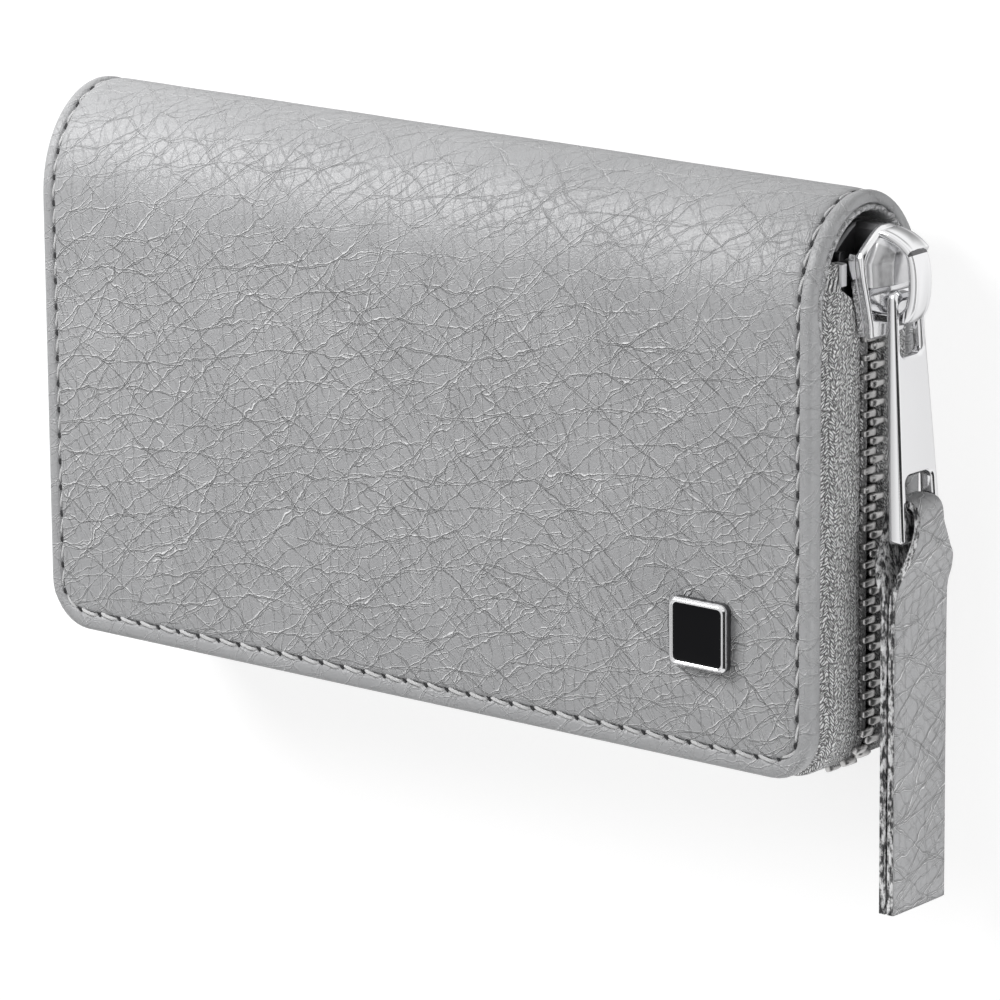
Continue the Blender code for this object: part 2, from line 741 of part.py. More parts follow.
def make_tab(parent):
    """A tapered plate: an eye over the bridge above, a slot for the strap below."""
    top = TAB_BAR / 2
    end_share, next_share = TAB_END_WIDTH_SHARES
    rings = [
        tab_ring(top, TAB_TOP_WIDTH * end_share, TAB_TOP_THICKNESS - TAB_CHAMFER),
        tab_ring(top - TAB_CHAMFER, TAB_TOP_WIDTH * next_share, TAB_TOP_THICKNESS),
        tab_ring(-top, TAB_TOP_WIDTH, TAB_TOP_THICKNESS),
        tab_ring(-TAB_LENGTH + TAB_CHAMFER, TAB_BOTTOM_WIDTH, TAB_BOTTOM_THICKNESS),
        tab_ring(-TAB_LENGTH, TAB_BOTTOM_WIDTH - 2 * TAB_CHAMFER, TAB_BOTTOM_THICKNESS - 2 * TAB_CHAMFER),
    ]
    tab = add_object("pull_tab", loft(rings), "polished", parent)
    eye_half = TAB_EYE_WIDTH / 2
    eye_top = -top
    eye_low = eye_top - TAB_EYE_LENGTH
    slot_low = -TAB_LENGTH + TAB_FOOT_BAR
    slot_top = slot_low + TAB_SLOT_LENGTH
    reach = TAB_BOTTOM_THICKNESS
    for name, low, high, half, radius in (
        ("tab_eye", eye_low, eye_top, eye_half, TAB_EYE_RADIUS),
        ("tab_slot", slot_low, slot_top, TAB_SLOT_WIDTH / 2, TAB_SLOT_RADIUS),
    ):
        outline = rounded_rectangle(
            (high - low) / 2, half, radius, TAB_HOLE_STEPS, ((high + low) / 2, 0.0)
        )
        cutter = helper(name, prism(outline, -reach, reach, "X"))
        cutter.parent = parent
        combine(tab, cutter, "DIFFERENCE")
    return tab


def strap_half_width(y):
    """Half the strap's width: pinched in the slot, full width below the tab."""
    pinch = smooth_step((y + STRAP_FLARE) / STRAP_FLARE)
    return (STRAP_WIDTH + (STRAP_PINCH - STRAP_WIDTH) * pinch) / 2


def strap_loop():
    """Matching inner and outer points round the bar, from the left layer over to the right."""
    room_x = TAB_BOTTOM_THICKNESS / 2 + STRAP_ROOM
    room_y = TAB_FOOT_BAR / 2 + STRAP_ROOM
    radius = STRAP_ROOM
    inner = [(-room_x, -room_y)]
    outer = [(-room_x - STRAP_LAYER, -room_y)]
    for side, start in ((-1, math.pi), (1, math.pi / 2)):
        centre = (side * (room_x - radius), room_y - radius)
        inner += arc(centre, radius, start, start - math.pi / 2, STRAP_CORNER_STEPS)
        outer += arc(centre, radius + STRAP_LAYER, start, start - math.pi / 2, STRAP_CORNER_STEPS)
    inner.append((room_x, -room_y))
    outer.append((room_x + STRAP_LAYER, -room_y))
    return inner, outer


def make_strap(parent):
    """The strap: one band whose two layers part round the bar and lie together below it."""
    inner, outer = strap_loop()
    join = (0.0, -STRAP_JOIN)
    inner = [join] + inner
    below = -STRAP_JOIN - STRAP_LAYER
    left = [(-STRAP_LAYER, below - (STRAP_LENGTH + below) * i / STRAP_TAIL_STEPS)
            for i in range(STRAP_TAIL_STEPS, -1, -1)]
    right = [(-x, y) for x, y in reversed(left)]
    bm = bmesh.new()

    def pair(place):
        x, y = place
        half = strap_half_width(y)
        return bm.verts.new((x, y, -half)), bm.verts.new((x, y, half))

    hole = [pair(place) for place in inner]
    skin = [pair(place) for place in left + outer + right]
    first = len(left) - 1
    last = first + len(outer) + 1
    for side in (0, 1):
        for i in range(first):
            j = len(skin) - 1 - i
            bm.faces.new((skin[i][side], skin[i + 1][side], skin[j - 1][side], skin[j][side]))
        bm.faces.new((skin[first][side], hole[0][side], skin[last][side]))
        bm.faces.new((skin[first][side], skin[first + 1][side], hole[1][side], hole[0][side]))
        bm.faces.new((skin[last][side], hole[0][side], hole[-1][side], skin[last - 1][side]))
        for i in range(len(outer) - 1):
            bm.faces.new(
                (skin[first + 1 + i][side], skin[first + 2 + i][side],
                 hole[i + 2][side], hole[i + 1][side])
            )
    for ring in (skin, hole):
        for i in range(len(ring)):
            a, b = ring[i], ring[(i + 1) % len(ring)]
            bm.faces.new((a[0], a[1], b[1], b[0]))
    return add_object("pull_strap", bm, "leather", parent)


# Badge


def badge_centre():
    return SIDE_X - BADGE_FROM_END, LOWER_Y + BADGE_FROM_EDGE


def cut_badge_pocket(cover):
    half = BADGE_SIZE / 2 + BADGE_FIT
    outline = rounded_rectangle(half, half, BADGE_RADIUS + BADGE_FIT, centre=badge_centre())
    cutter = helper(
        "badge_pocket",
        prism(outline, CASE_THICKNESS - BADGE_POCKET, CASE_THICKNESS + CUT_OVERRUN),
    )
    combine(cover, cutter, "DIFFERENCE")


def make_badge(parent):
    half = BADGE_SIZE / 2
    low = CASE_THICKNESS - BADGE_POCKET + GAP
    top = CASE_THICKNESS + BADGE_HEIGHT
    centre = badge_centre()
    levels = ((low, 0.0), (top - BADGE_BEVEL, 0.0), (top, BADGE_BEVEL))
    rings = []
    for z, inset in levels:
        reach = half - inset
        outline = rounded_rectangle(reach, reach, BADGE_RADIUS, BADGE_CORNER_STEPS, centre)
        rings.append([Vector((x, y, z)) for x, y in outline])
    frame = add_object("badge_frame", loft(rings), "polished", parent)
    field = half - BADGE_RIM
    floor = top - BADGE_RECESS
    recess = rounded_rectangle(field, field, BADGE_FIELD_RADIUS, BADGE_CORNER_STEPS, centre)
    combine(frame, helper("badge_recess", prism(recess, floor, top + CUT_OVERRUN)), "DIFFERENCE")
    field -= BADGE_FIT / 2
    inlay = rounded_rectangle(field, field, BADGE_FIELD_RADIUS, BADGE_CORNER_STEPS, centre)
    add_object(
        "badge_enamel",
        prism(inlay, floor + BADGE_FIT, top - BADGE_FIT),
        "enamel",
        parent,
    )


# Tools


def scissors_outline(side):
    """One half of the scissors from the pivot: its blade to -X, its ring to +X and to one side."""
    ring_centre = Vector((RING_ALONG, side * RING_ASIDE))
    direction = ring_centre.normalized()
    across = Vector((-direction.y, direction.x))
    join = math.asin(SHANK_HALF_WIDTH / RING_OUTER)
    base = math.atan2(direction.y, direction.x) + math.pi
    along_share, wide_share = BLADE_MIDDLE_SHARES
    middle_x, middle_y = -BLADE_LENGTH * along_share, BLADE_HALF_WIDTH * wide_share
    points = [(-BLADE_LENGTH, 0.0), (middle_x, -middle_y)]
    points.append((-PIVOT_FLAT, -BLADE_HALF_WIDTH))
    points.append((PIVOT_FLAT, -BLADE_HALF_WIDTH))
    low = direction * (RING_ALONG * SHANK_START_SHARE) - across * SHANK_HALF_WIDTH
    points.append((low.x, low.y))
    for i in range(RING_STEPS + 1):
        angle = base + join + (2 * math.pi - 2 * join) * i / RING_STEPS
        points.append(
            (ring_centre.x + RING_OUTER * math.cos(angle), ring_centre.y + RING_OUTER * math.sin(angle))
        )
    high = direction * (RING_ALONG * SHANK_START_SHARE) + across * SHANK_HALF_WIDTH
    points.append((high.x, high.y))
    points.append((PIVOT_FLAT, BLADE_HALF_WIDTH))
    points.append((-PIVOT_FLAT, BLADE_HALF_WIDTH))
    points.append((middle_x, middle_y))
    return points


def make_scissors_half(name, side, low, parent):
    half = add_object(
        name, prism(scissors_outline(side), low, low + SCISSORS_BLADE), "steel", parent
    )
    circle = arc((RING_ALONG, side * RING_ASIDE), RING_INNER, 0.0, 2 * math.pi, RING_STEPS)
    hole = arc((0.0, 0.0), SCREW_RADIUS + RUNNING_GAP, 0.0, 2 * math.pi, SCREW_STEPS)
    for label, outline in (("_finger", circle), ("_pivot", hole)):
        cutter = helper(
            name + label,
            prism(outline[:-1], low - CUT_OVERRUN, low + SCISSORS_BLADE + CUT_OVERRUN),
        )
        cutter.parent = parent
        combine(half, cutter, "DIFFERENCE")
    return half


def make_scissors():
    """The fixed half lies on the lining, the moving half on top of it, the screw through both."""
    place = Vector((SCISSORS_X, SCISSORS_Y, 0.0))
    fixed = add_empty("scissors_place", place)
    moving = add_empty("scissors_pivot", place)
    make_scissors_half("scissors_lower", -1, TOOL_Z, fixed)
    upper_z = TOOL_Z + SCISSORS_BLADE + RUNNING_GAP
    make_scissors_half("scissors_upper", 1, upper_z, moving)
    head_z = upper_z + SCISSORS_BLADE + RUNNING_GAP
    rise_share, crown_share = SCREW_CROWN_SHARES
    profile = (
        (TOOL_Z, SCREW_RADIUS), (head_z, SCREW_RADIUS), (head_z, SCREW_HEAD_RADIUS),
        (head_z + SCREW_HEAD * rise_share, SCREW_HEAD_RADIUS),
        (head_z + SCREW_HEAD, SCREW_HEAD_RADIUS * crown_share),
    )
    rings = []
    for z, radius in profile:
        circle = arc((0.0, 0.0), radius, 0.0, 2 * math.pi, SCREW_STEPS)[:-1]
        rings.append([Vector((x, y, z)) for x, y in circle])
    add_object("scissors_screw", loft(rings), "steel", fixed)
    return fixed


def loop_section(centre, half_width, height):
    """A band's (y, z) section: flat feet each side and an arch over what it holds."""
    low = TOOL_Z
    top = low + height
    inner = half_width + RUNNING_GAP
    outer = inner + BAND
    foot = outer + BAND_FOOT
    rise = top + RUNNING_GAP
    right = [
        (foot, low), (foot, low + BAND), (outer, low + BAND), (outer, rise),
        (outer - BAND, rise + BAND),
    ]
    under = [(inner, low), (inner, rise - BAND / 2), (inner - BAND / 2, rise)]
    over = [(centre + y, z) for y, z in right] + [(centre - y, z) for y, z in reversed(right)]
    below = [(centre - y, z) for y, z in under] + [(centre + y, z) for y, z in reversed(under)]
    return over + below


def make_scissors_loop():
    """A leather loop over the fixed shank, so the other half is free to turn."""
    share = LOOP_ALONG / RING_ALONG
    centre_y = SCISSORS_Y - RING_ASIDE * share
    section = loop_section(centre_y, SHANK_HALF_WIDTH + LOOP_ROOM, SCISSORS_BLADE)
    low_x = SCISSORS_X + LOOP_ALONG - LOOP_WIDTH / 2
    return add_object("scissors_loop", prism(section, low_x, low_x + LOOP_WIDTH, "X"), "lining")


def band_section(tools):
    """One band over several tools, as (y, z): up over each and down to the lining between them."""
    low = TOOL_Z
    over, below = [], []
    tools = sorted(tools)
    over.append((tools[0][0] - tools[0][1] - BAND_FOOT, low + BAND))
    below.append((tools[0][0] - tools[0][1] - BAND_FOOT, low))
    for centre, half_width, height in tools:
        inner = half_width + RUNNING_GAP
        outer = inner + BAND
        rise = low + height + RUNNING_GAP
        over += [
            (centre - outer, low + BAND), (centre - outer, rise), (centre - outer + BAND, rise + BAND),
            (centre + outer - BAND, rise + BAND), (centre + outer, rise), (centre + outer, low + BAND),
        ]
        below += [
            (centre - inner, low), (centre - inner, rise - BAND / 2), (centre - inner + BAND / 2, rise),
            (centre + inner - BAND / 2, rise), (centre + inner, rise - BAND / 2), (centre + inner, low),
        ]
    over.append((tools[-1][0] + tools[-1][1] + BAND_FOOT, low + BAND))
    below.append((tools[-1][0] + tools[-1][1] + BAND_FOOT, low))
    return over + below[::-1]


def make_bands(parent):
    """Two bands across the front cover, each over the file, the tweezers and the pusher."""
    tools = (
        (FILE_Y, FILE_WIDTH / 2, FILE_THICKNESS),
        (TWEEZERS_Y, TWEEZERS_WIDTH / 2, TWEEZERS_SPREAD),
        (PUSHER_Y, PUSHER_WIDTH / 2, PUSHER_THICKNESS),
    )
    section = band_section(tools)
    for name, centre in (("tool_band_left", -BAND_X), ("tool_band_right", BAND_X)):
        rings = []
        for x in (centre - BAND_WIDTH / 2, centre + BAND_WIDTH / 2):
            rings.append(mirrored([Vector((x, y, z)) for y, z in section]))
        add_object(name, loft(rings), "lining", parent)


def make_file(parent):
    """A flat nail file, one end pointed and the other round."""
    half = FILE_LENGTH / 2
    wide = FILE_WIDTH / 2
    side = [(half * along, wide * across) for along, across in FILE_POINT_SHARES]
    outline = [(half, FILE_Y)] + [(x, FILE_Y + y) for x, y in side]
    outline += arc((wide - half, FILE_Y), wide, math.pi / 2, 1.5 * math.pi, FILE_STEPS)
    outline += [(x, FILE_Y - y) for x, y in reversed(side)]
    rings = [
        mirrored([Vector((x, y, z)) for x, y in outline])
        for z in (TOOL_Z, TOOL_Z + FILE_THICKNESS)
    ]
    return add_object("nail_file", loft(rings), "steel", parent)


def make_tweezers(parent):
    """Two spring leaves joined at the back and bowed apart, narrowing to slanted tips."""
    half = TWEEZERS_LENGTH / 2
    shares = TWEEZERS_STATION_SHARES
    first_open = shares.index(TWEEZERS_HEEL_SHARE)
    lower, upper = [], []
    for share in shares:
        lift = TWEEZERS_SPREAD / 2 - TWEEZERS_LEAF
        bow = smooth_step((share - TWEEZERS_HEEL_SHARE) / TWEEZERS_BOW_SHARE)
        close = smooth_step((share - TWEEZERS_CLOSE_START_SHARE) / (1.0 - TWEEZERS_CLOSE_START_SHARE))
        inside = lift * bow * (1.0 - TWEEZERS_CLOSE_SHARE * close)
        thick_share = 1.0 if share > TWEEZERS_HEEL_SHARE else TWEEZERS_HEEL_THICKNESS_SHARE
        lower.append((half * share, inside))
        upper.append((half * share, inside + TWEEZERS_LEAF * thick_share))
    bm = bmesh.new()
    middle = TOOL_Z + TWEEZERS_SPREAD / 2

    def pair(x, z, share):
        taper = smooth_step((share - TWEEZERS_TAPER_START_SHARE) / (1.0 - TWEEZERS_TAPER_START_SHARE))
        wide = (TWEEZERS_WIDTH + (TWEEZERS_TIP_WIDTH - TWEEZERS_WIDTH) * taper) / 2
        place_z = CASE_THICKNESS - (middle + z)
        return (
            bm.verts.new((x, TWEEZERS_Y - wide, place_z)),
            bm.verts.new((x, TWEEZERS_Y + wide, place_z)),
        )

    top = [pair(x, z, share) for (x, z), share in zip(upper, shares)]
    bottom = [pair(x, -z, share) for (x, z), share in zip(upper, shares)]
    seam = pair(lower[first_open][0], 0.0, shares[first_open])
    inner_top = [seam] + [
        pair(x, z, share)
        for (x, z), share in list(zip(lower, shares))[first_open + 1 :]
    ]
    inner_bottom = [seam] + [
        pair(x, -z, share)
        for (x, z), share in list(zip(lower, shares))[first_open + 1 :]
    ]

    def skin(a, b):
        bm.faces.new((a[0], a[1], b[1], b[0]))

    for row in (top, bottom, inner_top, inner_bottom):
        for a, b in zip(row, row[1:]):
            skin(a, b)
    skin(top[0], bottom[0])
    skin(top[-1], inner_top[-1])
    skin(bottom[-1], inner_bottom[-1])
    for side in (0, 1):
        bm.faces.new((top[0][side], top[1][side], seam[side], bottom[1][side], bottom[0][side]))
        for outer_row, inner_row in ((top, inner_top), (bottom, inner_bottom)):
            for i in range(len(inner_row) - 1):
                bm.faces.new(
                    (outer_row[i + 1][side], outer_row[i + 2][side],
                     inner_row[i + 1][side], inner_row[i][side])
                )
    return add_object("tweezers", bm, "steel", parent)


def make_pusher(parent):
    """A cuticle pusher: a round handle between a flat spoon and a slim pointed end."""
    half = PUSHER_LENGTH / 2
    stations = [(along, PUSHER_SPOON_WIDTH * wide, thick) for along, wide, thick in PUSHER_SPOON_SHARES]
    stations += [(along, PUSHER_WIDTH * wide, thick) for along, wide, thick in PUSHER_HANDLE_SHARES]
    rings = []
    for along, width, thick_share in stations:
        wide = width / 2
        thick = PUSHER_THICKNESS / 2 * thick_share
        ring = []
        for i in range(PUSHER_STEPS):
            angle = 2 * math.pi * i / PUSHER_STEPS
            ring.append(
                Vector((
                    half * along,
                    PUSHER_Y + wide * math.cos(angle),
                    TOOL_Z + PUSHER_THICKNESS / 2 + thick * math.sin(angle),
                ))
            )
        rings.append(mirrored(ring))
    return add_object("cuticle_pusher", loft(rings), "steel", parent)


def keep_world(obj):
    """Undoes the parent's offset, so a mesh made in the case's frame stays where it was made."""
    obj.matrix_parent_inverse = Matrix.Translation(-obj.parent.matrix_world.translation)


def make_base():
    make_cover("back_cover", False)
    make_flat_layer("back_board", BOARD_Z, BOARD, "board", False)
    make_flat_layer("back_lining", LINING_Z, LINING, "lining", False)
    make_tape("back_zip_tape", False)
    make_chain("back_zip_teeth", False)
    make_tape_clip("back_tape_clip", False)
    make_bottom_stop()
    make_scissors()
    make_scissors_loop()


def make_spine_and_lid():
    """The spine hangs on the lower fold, the front cover on the upper fold above it."""
    fold_y, fold_z = fold_place()
    lower = add_empty("spine_fold", (0.0, fold_y, fold_z))
    bpy.context.view_layer.update()
    pieces = [make_spine_leather(lower), make_spine_lining(lower)]
    upper = add_empty("lid_fold", (0.0, fold_y, CASE_THICKNESS - fold_z))
    bpy.context.view_layer.update()
    cover = make_cover("front_cover", True, upper)
    cut_badge_pocket(cover)
    pieces += [
        cover,
        make_flat_layer("front_board", BOARD_Z, BOARD, "board", True, upper),
        make_flat_layer("front_lining", LINING_Z, LINING, "lining", True, upper),
        make_tape("front_zip_tape", True, upper),
        make_chain("front_zip_teeth", True, upper),
        make_tape_clip("front_tape_clip", True, upper),
        make_file(upper),
        make_tweezers(upper),
        make_pusher(upper),
    ]
    make_badge(upper)
    make_bands(upper)
    names = ("badge_frame", "badge_enamel", "tool_band_left", "tool_band_right")
    pieces += [bpy.data.objects[name] for name in names]
    for piece in pieces:
        keep_world(piece)


def make_slider_group():
    centre_x = SIDE_X - CHAIN_INSET
    slider = add_empty("slider_place", (centre_x, SLIDER_Y, MID_HEIGHT))
    make_slider(slider)
    plate_x = SLIDER_HEIGHT / 2 + SLIDER_PLATE
    pivot = add_empty("tab_pivot", (plate_x + TAB_PIVOT_OUT, TAB_PIVOT_UP, 0.0), slider)
    pivot.rotation_euler = (0.0, 0.0, TAB_LEAN)
    make_tab(pivot)
    bar_y = -TAB_LENGTH + TAB_FOOT_BAR / 2
    hanger = add_empty("strap_pivot", (0.0, bar_y, 0.0), pivot)
    hanger.rotation_euler = (0.0, 0.0, -TAB_LEAN)
    make_strap(hanger)


def main():
    clear_scene()
    make_base()
    make_spine_and_lid()
    make_slider_group()


main()
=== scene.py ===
"""Looks for the zip-around manicure case: leather, stitching, woven tape, polished metal and cloth.

Lengths inside the making functions are millimetres in the row frame; make_mesh turns them to metres.
"""
import math

import bmesh
import bpy
import numpy as np
from mathutils import Matrix, Vector, geometry, noise


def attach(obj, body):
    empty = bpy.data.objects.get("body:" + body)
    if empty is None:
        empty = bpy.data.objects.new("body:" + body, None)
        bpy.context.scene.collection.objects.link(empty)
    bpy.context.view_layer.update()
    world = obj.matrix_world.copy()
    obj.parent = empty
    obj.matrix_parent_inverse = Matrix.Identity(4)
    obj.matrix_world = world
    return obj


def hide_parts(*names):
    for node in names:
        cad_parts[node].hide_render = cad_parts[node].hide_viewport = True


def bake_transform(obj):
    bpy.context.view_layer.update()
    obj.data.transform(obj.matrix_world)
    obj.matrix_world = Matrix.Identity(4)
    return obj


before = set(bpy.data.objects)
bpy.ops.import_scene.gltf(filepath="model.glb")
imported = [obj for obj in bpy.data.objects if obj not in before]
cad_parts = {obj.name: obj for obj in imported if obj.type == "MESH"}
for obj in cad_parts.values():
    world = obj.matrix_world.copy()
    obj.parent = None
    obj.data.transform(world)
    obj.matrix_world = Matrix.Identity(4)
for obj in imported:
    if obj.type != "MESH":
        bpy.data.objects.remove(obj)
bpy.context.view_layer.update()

# The case: half its length, its lower edge, where the spine's round starts, its front face and its middle plane.
SIDE_X, LOW_Y, SPINE_Y, TOP_Z, MID_Z = 65.0, -37.5, 22.7, 24.0, 12.0
CORNER = 6.5
CENTRE_X, CENTRE_Y = SIDE_X - CORNER, LOW_Y + CORNER  # of the lower right corner's arc
DEPTH_Y, DEPTH_Z = 14.8, 12.0  # the spine's half ellipse
BADGE_X, BADGE_Y = 48.0, -20.0
SEAM_INSET, STITCH_PITCH = 2.2, 3.62  # the seam's way in from the edge

# The zip: the chain beyond the corners' arcs, where tape and chain start above the slider, how far short of
# the left end the chain stops, its teeth and its cord.
CHAIN_OUT, CHAIN_RADIUS = 0.3, 6.8
TAPE_TOP_Y, CHAIN_TOP_Y, CHAIN_END = 29.5, 29.9, 6.2
TOOTH_PITCH, TOOTH_LENGTH, CORD_RADIUS = 2.45, 1.18, 0.62
SLIDER_X, SLIDER_Y, PLATE_HALF, PLATE_GAP = 65.3, 19.4, 0.75, 2.25

TAB_PIVOT = (70.6, 25.2, 12.0)
TAB_LEAN = math.radians(3.5)
STRAP_PIVOT = (72.401, -4.245, 12.0)
STRAP_WIDTH, LOOP_WIDTH, STRAP_THICK = 11.3, 5.1, 1.15

WELD = 2000.0  # points that fall in the same cell of 1 / WELD mm become one
SHARP_ANGLE = 0.6  # radians


# Mesh helpers


class Patch:
    """Collects grids of points with their places on the flat material, and welds what touches."""

    def __init__(self):
        self.points, self.grain, self.faces, self.kinds = [], [], [], []
        self.count = self.kind = 0

    def block(self, points, grain, faces):
        self.points.append(points.reshape(-1, 3))
        self.grain.append(np.asarray(points if grain is None else grain, float).reshape(-1, 3))
        self.faces.append(faces)
        self.kinds.append(self.kind)
        self.count += len(self.points[-1])
        return self

    def grid(self, points, grain=None, close=False, flip=False):
        points = np.asarray(points, float)
        rows, cols = points.shape[:2]
        index = self.count + np.arange(rows * cols).reshape(rows, cols)
        if close:
            index = np.concatenate([index, index[:, :1]], axis=1)
        corners = index[:-1, :-1], index[:-1, 1:], index[1:, 1:], index[1:, :-1]
        quads = np.stack(corners, axis=-1).reshape(-1, 4)
        return self.block(points, grain, quads[:, ::-1] if flip else quads)

    def fan(self, ring, grain=None):
        """Closes a ring of points with one many-sided face."""
        return self.block(np.asarray(ring, float), grain, [range(self.count, self.count + len(ring))])

    def arrays(self):
        points, grain = np.concatenate(self.points), np.concatenate(self.grain)
        cells = np.round(points * WELD).astype(np.int64)
        _, first, back = np.unique(cells, axis=0, return_index=True, return_inverse=True)
        back = back.reshape(-1)
        faces, kinds = [], []
        for block, kind in zip(self.faces, self.kinds):
            for face in block:
                kept = list(dict.fromkeys(int(back[i]) for i in face))
                if len(kept) > 2:
                    faces.append(kept)
                    kinds.append(kind)
        return points[first], grain[first], faces, kinds


def new_object(name, data):
    obj = bpy.data.objects.new(name, data)
    bpy.context.scene.collection.objects.link(obj)
    return obj


def make_mesh(name, points, faces, materials, grain=None, kinds=None):
    mesh = bpy.data.meshes.new(name)
    mesh.from_pydata((np.asarray(points) * 0.001).tolist(), [], [list(map(int, f)) for f in faces])
    if grain is not None:
        layer = mesh.attributes.new("grain", "FLOAT_VECTOR", "POINT")
        layer.data.foreach_set("vector", np.asarray(grain, np.float32).ravel())
    mesh.shade_smooth()
    for material in materials if isinstance(materials, tuple) else (materials,):
        mesh.materials.append(material)
    if kinds is not None:
        mesh.polygons.foreach_set("material_index", np.asarray(kinds, np.int32))
    return new_object(name, mesh)


def fix_normals(obj):
    """Turns every closed shell's faces outward, and keeps the edges between facets crisp."""
    work = bmesh.new()
    work.from_mesh(obj.data)
    bmesh.ops.recalc_face_normals(work, faces=work.faces)
    for edge in work.edges:
        edge.smooth = len(edge.link_faces) != 2 or edge.calc_face_angle(0.0) < SHARP_ANGLE
    work.to_mesh(obj.data)
    work.free()


def patch_object(name, patch, materials, change=None):
    """An object from a patch. change maps the points, for example onto the other half."""
    points, grain, faces, kinds = patch.arrays()
    if change is not None:
        points = change(points)
    return make_mesh(name, points, faces, materials, grain, kinds)


def to_back(points):
    """Mirrors points of one half of the case to the other."""
    return points * (1, 1, -1) + (0, 0, TOP_Z)


def smooth_step(x):
    x = np.clip(x, 0.0, 1.0)
    return x * x * (3 - 2 * x)


def wave(x, y, z=0.0):
    """Smooth noise from -1 to 1, one value a point."""
    x, y = np.broadcast_arrays(np.asarray(x, float), np.asarray(y, float))
    flat = [noise.noise(Vector((float(a), float(b), z))) for a, b in zip(x.ravel(), y.ravel())]
    return np.array(flat).reshape(x.shape)


def stacked(*coordinates):
    """Points from their coordinates, which are arrays or single numbers."""
    return np.stack(np.broadcast_arrays(*coordinates), axis=-1)


def unit(vectors):
    return vectors / np.maximum(np.linalg.norm(vectors, axis=-1, keepdims=True), 1e-9)


def left_of(along):
    """Unit normals to the left of the given (u, v) directions."""
    along = unit(along)
    return stacked(-along[:, 1], along[:, 0])


def lengths_along(line):
    """How long a line is up to each of its points."""
    return np.concatenate([[0.0], np.cumsum(np.linalg.norm(np.diff(line, axis=0), axis=1))])


def smooth_curve(points, steps):
    """A rounder line through the given points."""
    p = np.asarray(points, float)
    p = np.concatenate([p[:1], p, p[-1:]])
    t = np.arange(steps)[:, None] / steps
    out = []
    for a, b, c, d in zip(p, p[1:], p[2:], p[3:]):
        out.append(0.5 * (2 * b + (c - a) * t + (2 * a - 5 * b + 4 * c - d) * t ** 2
                          + (3 * b - a - 3 * c + d) * t ** 3))
    return np.concatenate([*out, p[-1:]])


def with_mirror(half, middle=()):
    """A line and its mirror image in the first coordinate, as one line."""
    return [*half, *middle, *((-a, b) for a, b in half[::-1])]


def squarish(count, power_a, power_b, shift=0.0):
    """A ring round a square with soft corners, as two lists of coordinates from -1 to 1."""
    turn = 2 * math.pi * (np.arange(count) + shift) / count
    a, b = np.cos(turn), np.sin(turn)
    return np.copysign(np.abs(a) ** power_a, a), np.copysign(np.abs(b) ** power_b, b)


def arc(u, v, radius, start, steps):
    """A quarter turn anticlockwise round (u, v), from an angle of `start` half turns."""
    turns = [(start + 0.5 * i / steps) * math.pi for i in range(steps + 1)]
    return [(u + radius * math.cos(a), v + radius * math.sin(a)) for a in turns]


def rounded_loop(half_u, half_v, radius, steps, middle_v=0.0):
    """A rectangle with round corners, as (u, v) points anticlockwise."""
    points = []
    for sign_u, sign_v, start in ((1, 1, 0.0), (-1, 1, 0.5), (-1, -1, 1.0), (1, -1, 1.5)):
        points += arc(sign_u * (half_u - radius), middle_v + sign_v * (half_v - radius), radius, start, steps)
    return points


def plate(loops, half, radius, chamfer=True):
    """A flat plate with chamfered or rolled edges. loops are (u, v), the outer one anticlockwise and
    the holes clockwise. Gives points (u, v, w) and faces."""
    if chamfer:
        soft = radius * 0.16
        profile = [(radius + soft, half), (radius, half - soft * 0.25), (radius - soft, half - soft),
                   (soft, half - radius + soft), (soft * 0.25, half - radius), (0.0, half - radius - soft)]
    else:
        turns = (0.0, math.pi / 4, math.pi / 2)
        profile = [(radius * (1 - math.sin(a)), half - radius * (1 - math.cos(a))) for a in turns]
    profile = [(radius * 1.35, half)] + profile
    profile += [(inset, -w) for inset, w in profile[::-1]]
    points, faces, flats = [], [], []
    for loop in loops:
        loop = np.asarray(loop, float)
        normal = left_of(np.roll(loop, -1, axis=0) - np.roll(loop, 1, axis=0))
        count, start = len(loop), len(points)
        for inset, w in profile:
            points += [(u, v, w) for u, v in loop + normal * inset]
        last = len(points) - count
        for a in range(start, last, count):
            for i in range(count):
                j = (i + 1) % count
                faces.append((a + i, a + count + i, a + count + j, a + j))
        flats.append((range(start, start + count), range(last, last + count)))
    for under in (False, True):
        rings = [[Vector((*points[i][:2], 0.0)) for i in flat[under]] for flat in flats]
        index = [i for flat in flats for i in flat[under]]
        for tri in geometry.tessellate_polygon(rings):
            tri = tuple(index[i] for i in tri)
            a, b, c = (points[i] for i in tri)
            up = (b[0] - a[0]) * (c[1] - a[1]) - (b[1] - a[1]) * (c[0] - a[0]) > 0
            faces.append(tri if up != under else tri[::-1])
    return np.array(points), faces


def tube(rows, flip=False):
    """Points and faces of a tube through rings of points, shut at both ends."""
    rows = np.asarray(rows, float)
    count, cols = rows.shape[:2]
    last = (count - 1) * cols
    faces = []
    for a in range(0, last, cols):
        for c in range(cols):
            d = (c + 1) % cols
            faces.append((a + c, a + d, a + cols + d, a + cols + c))
    faces += [range(cols)[::-1], range(last, last + cols)]
    return rows.reshape(-1, 3), [face[::-1] for face in faces] if flip else faces


# Materials

COLOUR_A, COLOUR_B, COLOUR_OUT = 6, 7, 2  # the mix node's sockets for colours


